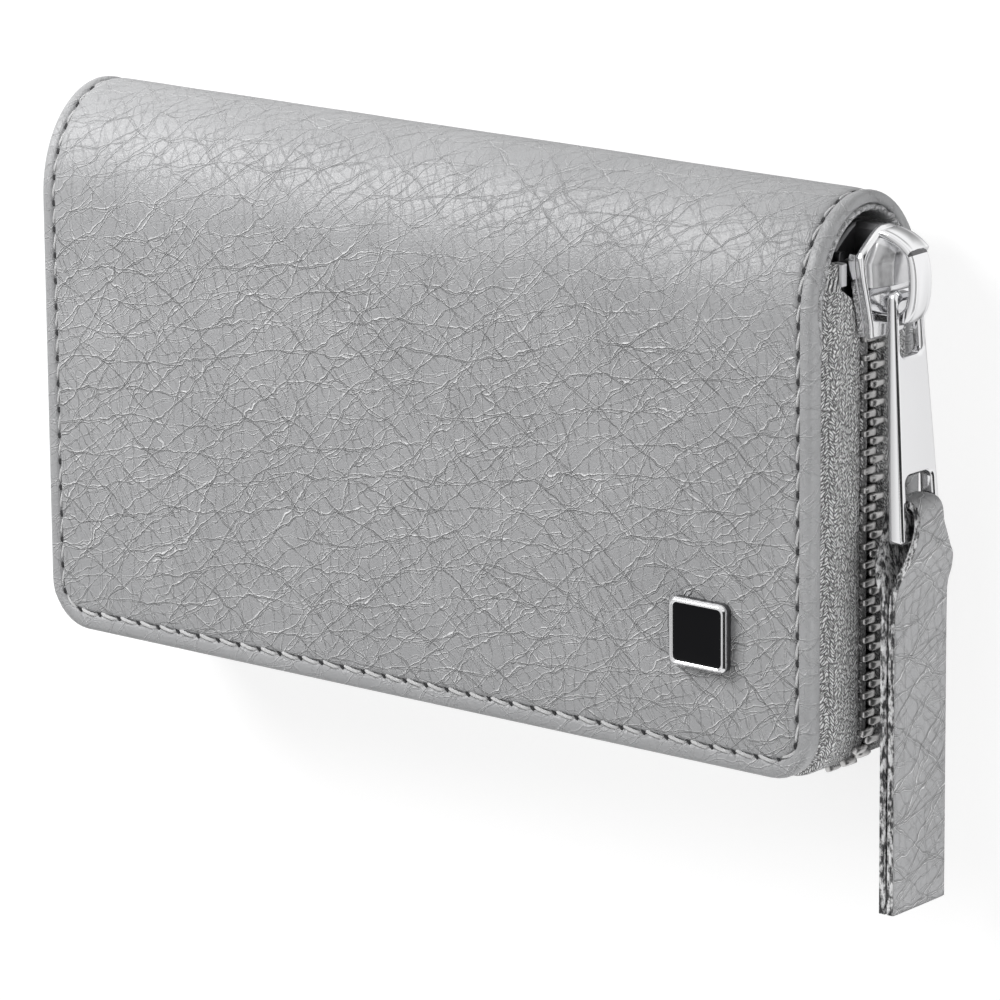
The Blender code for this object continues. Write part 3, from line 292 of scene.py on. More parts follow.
class Nodes:
    """A short way to write the nodes of a new material, or of the given world."""

    def __init__(self, name, world=None):
        self.owner = world or bpy.data.materials.new(name)
        self.owner.use_nodes = True
        self.tree = self.owner.node_tree
        self.shader = self.tree.nodes.get("Principled BSDF")

    def add(self, kind, *inputs, **values):
        """A new node. inputs go in by place, values with a capital by name; other values are settings."""
        node = self.tree.nodes.new("ShaderNode" + kind)
        for key, value in values.items():
            if key.islower():
                setattr(node, key, value)
        for key, value in (*enumerate(inputs), *values.items()):
            if not str(key).islower():
                self.put(node, key, value)
        return node

    def put(self, node, key, value):
        socket = node.inputs[key.replace("_", " ") if isinstance(key, str) else key]
        if isinstance(value, bpy.types.NodeSocket):
            self.tree.links.new(value, socket)
        else:
            socket.default_value = value

    def math(self, operation, a, b=0.0, c=None, clamp=False):
        node = self.add("Math", a, b, operation=operation, use_clamp=clamp)
        if c is not None:
            self.put(node, 2, c)
        return node.outputs[0]

    def plus(self, a, b):
        return self.math("ADD", a, b)

    def minus(self, a, b):
        return self.math("SUBTRACT", a, b)

    def times(self, a, b):
        return self.math("MULTIPLY", a, b)

    def size(self, a):
        return self.math("ABSOLUTE", a)

    def larger(self, a, b, clamp=False):
        return self.math("MAXIMUM", a, b, clamp=clamp)

    def vector(self, operation, *inputs, **values):
        return self.add("VectorMath", *inputs, operation=operation, **values).outputs[0]

    def dot(self, a, b):
        return self.add("VectorMath", a, b, operation="DOT_PRODUCT").outputs["Value"]

    def split(self, vector):
        return self.add("SeparateXYZ", vector).outputs

    def flat_place(self):
        return self.add("Attribute", attribute_name="grain").outputs["Vector"]

    def object_place(self):
        return self.add("TexCoord").outputs["Object"]

    def rays(self):
        """Whether the camera sees a ray's hit, and whether the camera, a mirror or glass does."""
        path = self.add("LightPath").outputs
        camera = path["Is Camera Ray"]
        return camera, self.larger(camera, self.larger(path["Is Glossy Ray"], path["Is Transmission Ray"]))

    def noise(self, place, scale, detail=2.0, rough=0.5, colour=False):
        node = self.add("TexNoise", Vector=place, Scale=scale, Detail=detail, Roughness=rough)
        return node.outputs["Color" if colour else "Fac"]

    def turned(self, place, angle, scale=(1.0, 1.0, 1.0), shift=(0.0, 0.0, 0.0)):
        node = self.add("Mapping", Vector=place, Location=shift, Rotation=(0.0, 0.0, angle), Scale=scale)
        return node.outputs[0]

    def fibres(self, place, angle, scale, rough=0.7):
        return self.noise(self.turned(place, angle, scale), 1.0, 3.0, rough)

    def cells(self, place, feature, scale):
        return self.add("TexVoronoi", feature=feature, voronoi_dimensions="2D",
                        Vector=place, Scale=scale, Randomness=1.0).outputs

    def ribs(self, place, count):
        """Ridges from 0 to 0.5, `count` to every unit of the place's length."""
        return self.math("PINGPONG", self.times(place, count), 0.5)

    def ramp(self, value, low, high, out_low=0.0, out_high=1.0, kind="SMOOTHSTEP"):
        node = self.add("MapRange", interpolation_type=kind,
                        Value=value, From_Min=low, From_Max=high, To_Min=out_low, To_Max=out_high)
        return node.outputs[0]

    def mix(self, share, a, b):
        node = self.add("Mix", share, data_type="RGBA")
        self.put(node, COLOUR_A, a)
        self.put(node, COLOUR_B, b)
        return node.outputs[COLOUR_OUT]

    def bump(self, height, depth):
        """depth is in metres."""
        node = self.add("Bump", Height=height, Distance=depth, Strength=1.0)
        self.put(self.shader, "Normal", node.outputs[0])

    def set(self, **inputs):
        """Sets the main shader's inputs, and gives the material."""
        for key, value in inputs.items():
            self.put(self.shader, key, value)
        return self.owner


def creases(n, place, angle, spacing, shift, width, wander, calmest):
    """One family of long creases that run along `angle`: thin grooves, each with a raised lip, some doubled."""
    turned = n.turned(place, -angle, shift=shift)
    drift = n.minus(n.noise(turned, 0.055, 1.0), 0.5)
    wiggle = n.minus(n.noise(turned, 0.30), 0.5)
    course = n.plus(n.times(n.split(turned)[1], 1.0 / spacing), n.times(drift, wander / spacing))
    course = n.plus(course, n.times(wiggle, 1.9 / spacing))
    beside = n.minus(n.noise(turned, 0.16, 1.0), 0.42)
    double = n.math("MULTIPLY_ADD", beside, 2.4 / spacing, course)
    offsets = [n.minus(n.math("FRACT", line), 0.5) for line in (course, double)]
    first = n.math("LESS_THAN", n.size(offsets[0]), n.size(offsets[1]))
    away = n.times(n.math("MULTIPLY_ADD", n.minus(*offsets), first, offsets[1]), spacing)
    groove = n.ramp(n.size(away), 0.0, width, -1.05, 0.0)
    lip = n.ramp(n.size(n.minus(away, width * 1.35)), 0.0, width * 1.15, 1.3, 0.0)
    patchy = n.noise(n.turned(turned, 0.0, (0.5, 1.0, 1.0), (31.0, 17.0, 0.0)), 0.17, 1.0)
    return n.times(n.plus(groove, lip), n.ramp(patchy, 0.34, 0.54, calmest, 1.0))


def cool_grey(level, shade):
    return level * shade, (level + 0.002) * shade, (level + 0.009) * shade, 1


def leather_material(name="leather", grain=1.0, shade=1.0):
    """Tumbled calf: long wandering creases that cross one another over a very fine pebble, with painted highlight on
    their lips and painted shade in their grooves.
    """
    # shade scales every colour; above 1 it is painted light, a lighter copy of the leather, as for the fold.
    n = Nodes(name)
    given = n.split(n.flat_place())  # x, s and how calm the grain lies
    place = n.add("CombineXYZ", given[0], given[1]).outputs[0]
    full = n.math("SUBTRACT", 1.0, given[2], clamp=True)
    families = (  # angle in degrees, spacing, shift, width, wander, calmest, depth
        (39, 3.8, (3.0, 1.0, 0.0), 0.10, 4.5, 0.5, 1.0),
        (54, 5.8, (61.0, 23.0, 0.0), 0.095, 5.0, 0.3, 0.8),
        (9, 4.2, (13.0, 47.0, 0.0), 0.10, 6.0, 0.35, 0.85),
        (-32, 5.0, (83.0, 5.0, 0.0), 0.09, 5.5, 0.25, 0.75),
        (94, 1.9, (7.0, 71.0, 0.0), 0.07, 5.5, 0.15, 0.42),
        (24, 1.9, (29.0, 11.0, 0.0), 0.075, 5.0, 0.2, 0.5),
        (-48, 1.7, (43.0, 37.0, 0.0), 0.07, 4.5, 0.2, 0.40),
    )
    net = 0.0
    for angle, *family, depth in families:
        net = n.math("MULTIPLY_ADD", creases(n, place, math.radians(angle), *family), depth, net)
    pebble = n.noise(place, 3.0, 2.0, 0.6)
    height = n.times(net, n.times(full, grain))
    n.bump(n.math("MULTIPLY_ADD", pebble, 0.85, height), 0.000135)
    tone = n.ramp(n.noise(place, 0.045, 3.0, 0.55), 0.3, 0.7)
    pale = n.mix(tone, cool_grey(0.340, shade), cool_grey(0.374, shade))
    # Painted highlight: the crease lips are coloured far lighter than the leather.
    painted_shading = n.mix(n.ramp(height, 0.05, 0.8), pale, cool_grey(0.78, shade))
    # Painted shade: the creases' grooves are coloured darker.
    return n.set(Base_Color=n.mix(n.ramp(height, -1.7, -0.1), cool_grey(0.30, shade), painted_shading),
                 Roughness=n.math("MULTIPLY_ADD", pebble, 0.14, 0.33), Specular_IOR_Level=0.55)


def plain_metal(name, colour, rough, scale, depth=0.000004):
    """Metal with faint marks of handling."""
    n = Nodes(name)
    marks = n.noise(n.object_place(), scale, 3.0, 0.6)
    n.bump(marks, depth)
    return n.set(Base_Color=(*colour, 1), Metallic=1.0, Roughness=n.ramp(marks, 0.2, 0.8, rough * 0.8, rough * 1.25))


def steel_material():
    """Satin steel, brushed along the tools."""
    n = Nodes("steel")
    place = n.object_place()
    brush = n.fibres(place, 0.0, (260.0, 9000.0, 9000.0), 0.6)
    stain = n.ramp(n.noise(place, 60.0, 3.0, 0.6), 0.3, 0.7)
    n.bump(brush, 0.000006)
    return n.set(Base_Color=n.mix(stain, (0.50, 0.51, 0.52, 1), (0.58, 0.585, 0.59, 1)), Metallic=1.0,
                 Roughness=n.math("MULTIPLY_ADD", brush, 0.16, 0.22))


def file_material():
    """The nail file's crossed cut, lighter on its ridges and darker in the cuts between them."""
    n = Nodes("file_cut")
    place = n.object_place()
    height = n.plus(*(n.ribs(n.split(n.turned(place, angle))[0], 2200.0) for angle in (0.75, -0.75)))
    n.bump(height, 0.00008)
    tint = n.mix(n.ramp(height, 0.2, 0.9), (0.22, 0.22, 0.225, 1), (0.52, 0.525, 0.53, 1))
    return n.set(Base_Color=tint, Metallic=1.0, Roughness=0.40)


def plain_material(name, scale, depth, colour, rough, shine):
    """One colour with a fine unevenness: the badge's enamel, and the near black of the stitches' pricks, which is
    painted shade.
    """
    n = Nodes(name)
    n.bump(n.noise(n.object_place(), scale), depth)
    return n.set(Base_Color=(*colour, 1), Roughness=rough, Specular_IOR_Level=shine)


def thread_material():
    """Waxed thread with its twist, the plies' highlight and shade painted in bands."""
    n = Nodes("thread")
    ply = n.add("TexWave", wave_type="BANDS", bands_direction="DIAGONAL",
                Vector=n.flat_place(), Scale=1.1, Distortion=0.4).outputs["Fac"]
    n.bump(ply, 0.00008)
    # Painted highlight and shade: the bands of the twist go from light grey to near white.
    colour = n.mix(ply, (0.74, 0.74, 0.745, 1), (0.98, 0.98, 0.985, 1))
    return n.set(Base_Color=colour, Roughness=0.45, Sheen_Weight=0.3)


def tape_material():
    """Woven tape: columns of plump slanted picks that lean to and fro, with painted shade between them and painted
    highlight on them.
    """
    n = Nodes("tape")
    place = n.flat_place()
    stray = n.vector("SUBTRACT", n.noise(place, 0.9, colour=True), (0.5, 0.5, 0.5))
    along, across, _ = n.split(n.vector("ADD", place, n.vector("SCALE", stray, Scale=0.5)))
    lean = n.math("MULTIPLY_ADD", n.math("PINGPONG", across, 1.0), 1.15, along)
    sheared = n.add("CombineXYZ", lean, n.times(across, 0.62)).outputs[0]
    pick = n.ramp(n.cells(sheared, "DISTANCE_TO_EDGE", 2.45)["Distance"], 0.02, 0.30)
    lift = n.add("SeparateColor", n.cells(sheared, "F1", 2.45)["Color"]).outputs[0]
    fuzz = n.fibres(place, 0.6, (6.0, 16.0, 1.0))
    height = n.math("MULTIPLY_ADD", fuzz, 0.45, n.times(pick, n.math("MULTIPLY_ADD", lift, 0.5, 0.75)))
    n.bump(height, 0.00028)
    bound = n.math("LESS_THAN", n.size(n.minus(along, 2.6)), 0.85)  # the ribbed end at the clip
    ribs = n.ramp(n.ribs(across, 1.9), 0.12, 0.4, 0.1, 1.3)
    shade = n.plus(n.times(height, n.minus(1.0, bound)), n.times(ribs, bound))
    # Painted light and shade: near black between the picks and in the ribs' hollows, near white on their tops.
    colour = n.mix(n.ramp(shade, 0.10, 1.0), (0.13, 0.13, 0.132, 1), (0.97, 0.97, 0.975, 1))
    return n.set(Base_Color=colour, Roughness=0.8, Specular_IOR_Level=0.25, Sheen_Weight=0.1)


def cloth_material(name, colour, scale, ribs=0.0):
    """Dark lining cloth: a fine nap, or the ribs of elastic webbing."""
    n = Nodes(name)
    place = n.flat_place()
    height = nap = n.fibres(place, 0.35, (scale, scale * 0.45, scale))
    if ribs:
        split = n.split(place)
        rib = n.ramp(n.ribs(split[0], ribs), 0.05, 0.40)
        pick = n.ramp(n.ribs(split[1], ribs * 1.6), 0.0, 0.4, 0.6, 1.0)
        height = n.math("MULTIPLY_ADD", nap, 0.3, n.times(rib, pick))
    n.bump(height, 0.00016)
    pale = (min(c * 2.6 + 0.01, 1.0) for c in colour)
    # The colour is lighter with a slow noise, a random tone, and where the bump stands high: painted light on the
    # raised nap and ribs, painted shade between them.
    shade = n.math("MULTIPLY_ADD", n.noise(place, 0.07), 0.5, n.times(height, 0.6))
    return n.set(Base_Color=n.mix(n.ramp(shade, 0.2, 0.95), (*colour, 1), (*pale, 1)), Roughness=0.85,
                 Specular_IOR_Level=0.2, Sheen_Weight=0.25, Sheen_Roughness=0.5)


def board_material():
    """Grey pressed board: short fibres in every direction and darker flecks."""
    n = Nodes("board")
    place = n.object_place()
    fibre = n.fibres(place, 0.4, (2600.0, 700.0, 1600.0))
    fleck = n.ramp(n.noise(place, 900.0, 2.0, 0.6), 0.62, 0.72)
    n.bump(fibre, 0.00008)
    colour = n.mix(n.ramp(fibre, 0.3, 0.7), (0.22, 0.19, 0.15, 1), (0.40, 0.35, 0.28, 1))
    return n.set(Base_Color=n.mix(fleck, colour, (0.12, 0.10, 0.08, 1)), Roughness=0.9)


def raw_material():
    """The strap's cut edge and flesh side: dark fibres."""
    n = Nodes("raw_leather")
    fibre = n.fibres(n.object_place(), 0.0, (1800.0, 700.0, 1800.0))
    n.bump(fibre, 0.0003)
    colour = n.mix(n.ramp(fibre, 0.40, 0.62), (0.045, 0.045, 0.047, 1), (0.80, 0.80, 0.805, 1))
    return n.set(Base_Color=colour, Roughness=0.9, Specular_IOR_Level=0.2)


# Leather


def ellipse_table():
    """Angle and arc length over a quarter of the spine, from the cover's edge to the apex."""
    angle = np.linspace(0.0, math.pi / 2, 721)
    return angle, lengths_along(stacked(SPINE_Y + DEPTH_Y * np.sin(angle), MID_Z + DEPTH_Z * np.cos(angle)))


ANGLE, LENGTH = ellipse_table()
QUARTER = float(LENGTH[-1])

# The rolled edge with its stitch channel, as (inset from the case's side, height over the cover).
RIM = (
    (6.5, 0.0), (5.4, 0.0), (4.5, 0.0), (3.8, -0.01), (3.3, -0.03), (2.95, -0.07), (2.72, -0.13),
    (2.55, -0.20), (2.43, -0.30), (2.34, -0.42), (2.27, -0.50), (2.2, -0.52), (2.12, -0.50),
    (2.04, -0.40), (1.94, -0.26), (1.78, -0.13), (1.55, -0.05), (1.25, 0.0), (0.95, -0.01),
    (0.68, -0.07), (0.44, -0.19), (0.24, -0.37), (0.1, -0.6), (0.02, -0.9), (0.0, -1.3),
    (0.01, -1.75), (0.07, -2.1), (0.2, -2.38), (0.42, -2.56), (0.75, -2.62), (1.3, -2.6),
)
ROUNDING, CHANNEL = -0.9, -0.5  # heights where the rim turns under, and of the channel's foot


def calm(x, s, inset=np.inf):
    """How smooth the grain lies: 0 on the cover, nearly 1 on the lip and part of the way over the spine."""
    edge = np.minimum(np.minimum(SIDE_X - np.abs(x), s - LOW_Y), inset)
    lip = 1.0 - smooth_step((edge - 1.7) / 1.3)
    fold = smooth_step((s - 15.0) / 12.0)
    return np.clip(0.72 * lip + 0.62 * fold * (1 - lip), 0.0, 0.9)


def lower_shift(s):
    """How much further in than at the sides the stitch channel stands along the lower edge."""
    return np.where(s < CENTRE_Y, 0.4 * np.exp(-((s - LOW_Y - 2.3) / 1.1) ** 2), 0.0)


def sheet_point(x, s, drop):
    """Points of the leather: x, the flat distance s up the cover and over the spine, and the height."""
    angle = np.interp(np.clip(s - SPINE_Y, 0.0, QUARTER), LENGTH, ANGLE)
    y = np.where(s <= SPINE_Y, s, SPINE_Y + (DEPTH_Y + drop) * np.sin(angle))
    z = np.where(s <= SPINE_Y, TOP_Z + drop, MID_Z + (DEPTH_Z + drop) * np.cos(angle))
    return stacked(x, y, z)


def outline(side_s, corner_steps, bottom_x):
    """Stations along a sheet's free edge, from the apex at +X round to the apex at -X: flat points at an
    inset of CORNER, and the way out from each."""
    turns = np.linspace(0, math.pi / 2, corner_steps + 1)[1:-1]
    rows = [(CENTRE_X, s, 1, 0) for s in side_s[::-1]]
    rows += [(CENTRE_X, CENTRE_Y, math.cos(a), -math.sin(a)) for a in turns]
    rows += [(x, CENTRE_Y, 0, -1) for x in bottom_x[::-1]]
    rows += [(-CENTRE_X, CENTRE_Y, -math.sin(a), -math.cos(a)) for a in turns]
    rows += [(-CENTRE_X, s, -1, 0) for s in side_s]
    return np.array(rows)


def at_inset(stations, inset):
    """The stations' x and s on the flat sheet, at an inset from its edge."""
    return (stations[:, :2] + stations[:, 2:] * (CORNER - inset)).T


def soft_height(x, s):
    """Slow unevenness of the leather, and the dimple that the badge sits in."""
    swell = 0.10 * wave(x * 0.035, s * 0.05, 3.0) + 0.05 * wave(x * 0.11, s * 0.13, 9.0)
    dimple = -0.16 * np.exp(-((np.hypot(x - BADGE_X, s - BADGE_Y) / 6.2) ** 4))
    edge = np.minimum(SIDE_X - np.abs(x), s - LOW_Y)
    return swell * smooth_step((edge - 2.6) / 5.0), dimple


def cover_sheet(front):
    """The leather of one cover and of its half of the spine, as one sheet."""
    apex = SPINE_Y + QUARTER
    side_s = np.concatenate([
        np.linspace(CENTRE_Y, SPINE_Y, 46),
        SPINE_Y + np.linspace(0.0, QUARTER, 22)[1:-1],
        [apex - 0.12, apex],
    ])
    bottom_x = np.linspace(-CENTRE_X, CENTRE_X, 100)
    stations = outline(side_s, 9, bottom_x)

    def soft_point(x, s, drop):
        swell, dimple = soft_height(x, s)
        return sheet_point(x, s, drop + swell + dimple * front)

    points, grain = [], []
    for (inset, drop), flat in zip(RIM, RIM[0][0] - lengths_along(RIM)):
        x, s = at_inset(stations, inset)
        # The turned-under part is less deep at the spine's ends.
        arch = smooth_step((s - SPINE_Y + 3.0) / 4.0)
        deep = drop + 0.58 * arch * max(ROUNDING - drop, 0.0)
        if drop > CHANNEL:
            s = s + lower_shift(s)
        points.append(soft_point(x, s, deep))
        grain.append(stacked(*at_inset(stations, flat), calm(x, s, inset)))
    patch = Patch().grid(points, grain)
    grid_x, grid_s = np.meshgrid(bottom_x, side_s)
    patch.grid(soft_point(grid_x, grid_s, 0.0), stacked(grid_x, grid_s, calm(grid_x, grid_s)))
    points, grain, faces, _ = patch.arrays()
    if not front:
        points = to_back(points)
        grain = grain * (1, -1, 1) + (0, 2 * apex, 0)
        faces = [face[::-1] for face in faces]
    return points, grain, faces


def ride_half(obj, front):
    """Bakes the transform of a piece of the sheet that crosses the spine's fold."""
    if front:
        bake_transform(obj)
    else:
        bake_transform(obj)


def make_leather(material):
    for front in (True, False):
        points, grain, faces = cover_sheet(front)
        name = "leather_front" if front else "leather_back"
        obj = make_mesh(name, points, faces, material, grain)
        ride_half(obj, front)
        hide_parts("front_cover" if front else "back_cover", "spine_leather")


def make_spine_inside(fold, lining):
    """The turned-in edge, wrinkled where it rounds the spine's ends, and the cloth between."""
    edge = ((-0.95, 63.4), (-1.35, 62.9), (-1.62, 63.4), (-1.72, 64.5), (-1.95, 65.0), (-2.3, 65.0),
            (-2.52, 64.6), (-2.55, 63.4), (-2.40, 62.0), (-2.30, 60.0), (-2.26, 58.0), (-2.20, 57.2),
            (-2.0, 57.0))  # height over the spine, x
    along = np.concatenate([np.linspace(17.5, SPINE_Y, 16), SPINE_Y + np.linspace(0, QUARTER, 60)[1:]])
    for front in (True, False):
        patch = Patch()
        for sign in (1, -1):
            rows, flat = [], []
            for k, (drop, x) in enumerate(edge):
                on_fold = 3 <= k <= 6
                wrinkle = (0.30 if on_fold else 0.09) * wave(along * 0.9, 3.7 * k, 5.0)
                side = sign * (x + 0.8 * wrinkle)
                rows.append(sheet_point(side, along, drop + wrinkle))
                flat.append(stacked(side * 0.9 - drop * 3, along * 1.6, 0.0))
            patch.grid(rows, flat, flip=sign < 0)
        patch.kind = 1
        grid_x, grid_s = np.meshgrid(np.linspace(-57.4, 57.4, 60), along)
        soft = -1.95 + 0.10 * wave(grid_x * 0.12, grid_s * 0.35, 2.0) + 0.05 * wave(grid_x * 0.5, grid_s * 0.6, 6.0)
        patch.grid(sheet_point(grid_x, grid_s, soft), stacked(grid_x, grid_s, 0.0), flip=True)
        name = "spine_inside_front" if front else "spine_inside_back"
        obj = patch_object(name, patch, (fold, lining), None if front else to_back)
        ride_half(obj, front)
        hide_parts("spine_lining")


def make_linings(material):
    """The thin cloth panel with a turned edge on the inside of each cover."""
    panel_z = 20.44
    profile = ((2.62, 21.1), (2.6, 20.85), (2.68, 20.64), (2.9, 20.52), (3.4, 20.46), (4.6, panel_z),
               (CORNER, panel_z))  # inset, z
    side_s = np.linspace(CENTRE_Y, 22.2, 40)
    bottom_x = np.linspace(-CENTRE_X, CENTRE_X, 80)
    stations = outline(side_s, 8, bottom_x)

    def soft(x, y, z):
        swell = 0.10 * wave(x * 0.06, y * 0.09, 12.0) + 0.035 * wave(x * 0.3, y * 0.35, 15.0)
        swell = np.abs(swell) * smooth_step((SIDE_X - 2.6 - np.abs(x)) / 4.0)
        return stacked(x, y, z + swell)

    for front in (True, False):
        rows = [soft(*at_inset(stations, inset), z) for inset, z in profile]
        patch = Patch().grid(rows, flip=True)
        patch.grid(soft(*np.meshgrid(bottom_x, side_s), panel_z), flip=True)
        side = "front" if front else "back"
        obj = patch_object("lining_" + side, patch, material, None if front else to_back)
        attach(obj, "lid" if front else "base")
        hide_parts(side + "_lining")


def webbing(name, path, x_low, x_high, material, body, node):
    """A flat elastic loop along a (y, z) path, 0.7 mm thick with soft edges."""
    line = smooth_curve(path, 6)
    across, thick = squarish(28, 0.25, 0.6)
    across, thick = across * (x_high - x_low) / 2, thick * 0.35
    rows, flat = [], []
    for p, out, at in zip(line, left_of(np.gradient(line, axis=0)), lengths_along(line)):
        rows.append(np.column_stack([(x_low + x_high) / 2 + across, p + np.outer(thick, out)]))
        flat.append(stacked(across + 40.0 * (thick < 0), at, 0.0))
    patch = Patch().grid(rows, flat, close=True)
    patch.fan(rows[0][::-1], flat[0][::-1]).fan(rows[-1], flat[-1])
    obj = patch_object(name, patch, material)
    fix_normals(obj)
    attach(obj, body)
    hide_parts(node)


def make_bands(material):
    """Two bands over the tools on the front lining, and the loop round the scissors on the back one."""
    tools = ((-21.85, 4.5, 1.2), (-4.99, 4.0, 4.6), (10.96, 3.0, 2.4))  # middle y, half width, height
    sewn_z, margin = 19.78, 3.0
    path = [(tools[0][0] - tools[0][1] - margin, sewn_z)]
    for y, half, height in tools:
        tall = height > 2
        top, wall = 19.55 - height, half + 0.68
        side = [(-wall - 1.0, sewn_z), (-wall - 0.15, 19.62), (-wall + 0.05, 19.2 if tall else 19.3)]
        if tall:
            side.append((-wall + 0.1, top + 0.9))
        side += [(-wall + 0.75, top + 0.12), (-half * 0.4, top)]
        path += [(y + a, z) for a, z in with_mirror(side)]
    path.append((tools[-1][0] + tools[-1][1] + margin, sewn_z))
    for side, x in (("left", -28.0), ("right", 28.0)):
        webbing("band_" + side, path, x - 4.0, x + 4.0, material, "lid", "tool_band_" + side)
    loop = with_mirror([(-6.7, 4.22), (-4.3, 4.22), (-3.55, 4.35), (-3.4, 4.9), (-3.3, 5.5), (-2.75, 5.98),
                        (-1.0, 6.06)])
    webbing("loop_scissors", [(y - 17.65, z) for y, z in loop], 6.5, 13.5, material, "base", "scissors_loop")


# Stitches


def make_stitches(thread, painted_hole_shade):
    """Slanted stitches in the covers' channel, and the pricks between them, coloured near black as painted shade."""
    x, s = at_inset(outline(np.linspace(CENTRE_Y, SPINE_Y + QUARTER, 200), 24,
                            np.linspace(-CENTRE_X, CENTRE_X, 260)), SEAM_INSET)
    line = stacked(x, s + lower_shift(s))
    length = lengths_along(line)
    count = round(length[-1] / STITCH_PITCH)
    pitch = length[-1] / count
    shares = np.linspace(0, 1, 9)
    ends = np.abs(2 * shares - 1)
    slant = (shares - 0.5) * 0.58
    turn = np.arange(8) * math.pi / 4
    cos, sin = np.cos(turn), np.sin(turn)
    for front in (True, False):
        patch, holes = Patch(), Patch()
        for k in range(count):
            prick = k * pitch + 0.10 * math.sin(k * 12.9898)
            where = prick + 0.36 + (pitch - 0.66) * shares
            x, s = (np.interp(where, length, line[:, i]) for i in (0, 1))
            aside = unit(stacked(np.gradient(s), -np.gradient(x)))
            x, s = x + aside[:, 0] * slant, s + aside[:, 1] * slant
            right, left = (float(smooth_step((sign * x.mean() - 58.0) / 4.0)) for sign in (1, -1))
            lift = soft_height(x, s)[0] - 0.10 - 0.20 * right - 0.32 * left - 0.62 * ends ** 4
            centre = sheet_point(x, s, lift)
            along = unit(np.gradient(centre, axis=0))
            across = unit(np.cross(along, sheet_point(x, s, lift + 1.0) - centre))
            up = np.cross(across, along)
            wide = (0.25 - 0.03 * right - 0.03 * left) * (1 - 0.35 * ends ** 6)
            around = cos[:, None] * across[:, None] + sin[:, None] * up[:, None]
            flat = [stacked(at, turn, 0.0) for at in where]
            patch.grid(centre[:, None] + around * wide[:, None, None], flat, close=True, flip=not front)
            x, s = (np.interp(prick, length, line[:, i]) for i in (0, 1))
            swell = float(soft_height(x, s)[0])
            lean = 0.0 if abs(x) > 60 else 0.75
            rings = [sheet_point(x + (0.52 * cos - lean * sin) * r, s + r * sin, h + swell)
                     for r, h in ((0.44, -0.40), (0.40, -0.21), (0.22, -0.27), (0.0, -0.30))]
            holes.grid(rings, close=True, flip=front)
        side = "front" if front else "back"
        change = None if front else to_back
        threads = patch_object("stitches_" + side, patch, thread, change)
        ride_half(threads, front)
        pricks = patch_object("stitch_holes_" + side, holes, painted_hole_shade, change)
        ride_half(pricks, front)


# Zip tapes and teeth, made for the back half and mirrored to the front


def zip_length(top_y):
    """The way round the case's three sides, from this height to this height."""
    return 2 * (top_y - CENTRE_Y) + CHAIN_RADIUS * math.pi + 2 * CENTRE_X


def zip_point(along, out, z, top_y):
    """Points of the zip: the way along it from its right end round to the left, and the way out."""
    whole = zip_length(top_y)
    past = np.minimum(along, whole - along) - (top_y - CENTRE_Y)
    turn = np.clip(past / CHAIN_RADIUS, 0.0, math.pi / 2)
    x = CENTRE_X - np.maximum(past - CHAIN_RADIUS * math.pi / 2, 0.0) + (CORNER + out) * np.cos(turn)
    y = CENTRE_Y + np.maximum(-past, 0.0) - (CORNER + out) * np.sin(turn)
    return stacked(np.where(along > whole / 2, -x, x), y, z)


def spread_at(x, y):
    """How far the two halves part inside the slider and above it."""
    return np.where(x < 0, 0.0, 2.2 * smooth_step((y - SLIDER_Y - 1.0) / 9.5))


def chain_point(along, out, z):
    points = zip_point(along, CHAIN_OUT + out, MID_Z + z, CHAIN_TOP_Y)
    points[..., 2] -= spread_at(points[..., 0], points[..., 1])
    return points


def make_tapes(material):
    room_y, room_z = DEPTH_Y - 2.4, DEPTH_Z - 2.4  # inside the spine
    for front in (True, False):
        rows, flat = [], []
        for along in np.linspace(0, zip_length(TAPE_TOP_Y), 300):
            x, y, _ = zip_point(along, 0, 0, TAPE_TOP_Y)
            if y <= SPINE_Y:
                low = 1.5 + 0.9 * float(smooth_step((y - SPINE_Y + 5.0) / 2.5))
            else:
                low = MID_Z - room_z * math.sqrt(max(1 - ((y - SPINE_Y) / room_y) ** 2, 0))
            high = 9.55 - float(spread_at(x, y))
            high += (5.2 - high) * float(smooth_step((y - 23.7) / 3.0))
            z = low + (high - low) * np.linspace(0, 1, 15)
            out = -1.4 + 2.0 * smooth_step((z - 3.0) / 1.7)
            ripple = 0.05 * math.sin(along * 0.9) * smooth_step((z - 3) / 2) * smooth_step((high - z) / 2)
            outer = zip_point(along, out + ripple, z, TAPE_TOP_Y)
            inner = zip_point(along, out - 0.7, z, TAPE_TOP_Y)
            rows.append(np.concatenate([outer, inner[::-1]]))
            cut = lengths_along(stacked(z, out))
            flat.append([(along, h, 0.0) for h in cut] + [(along, h, 5.0) for h in cut[::-1]])
        patch = Patch().grid(rows, flat, close=True, flip=front)
        patch.fan(rows[0], flat[0]).fan(rows[-1], flat[-1])
        obj = patch_object("tape_front" if front else "tape_back", patch, material, to_back if front else None)
        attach(obj, "lid" if front else "base")
        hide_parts("front_zip_tape" if front else "back_zip_tape")


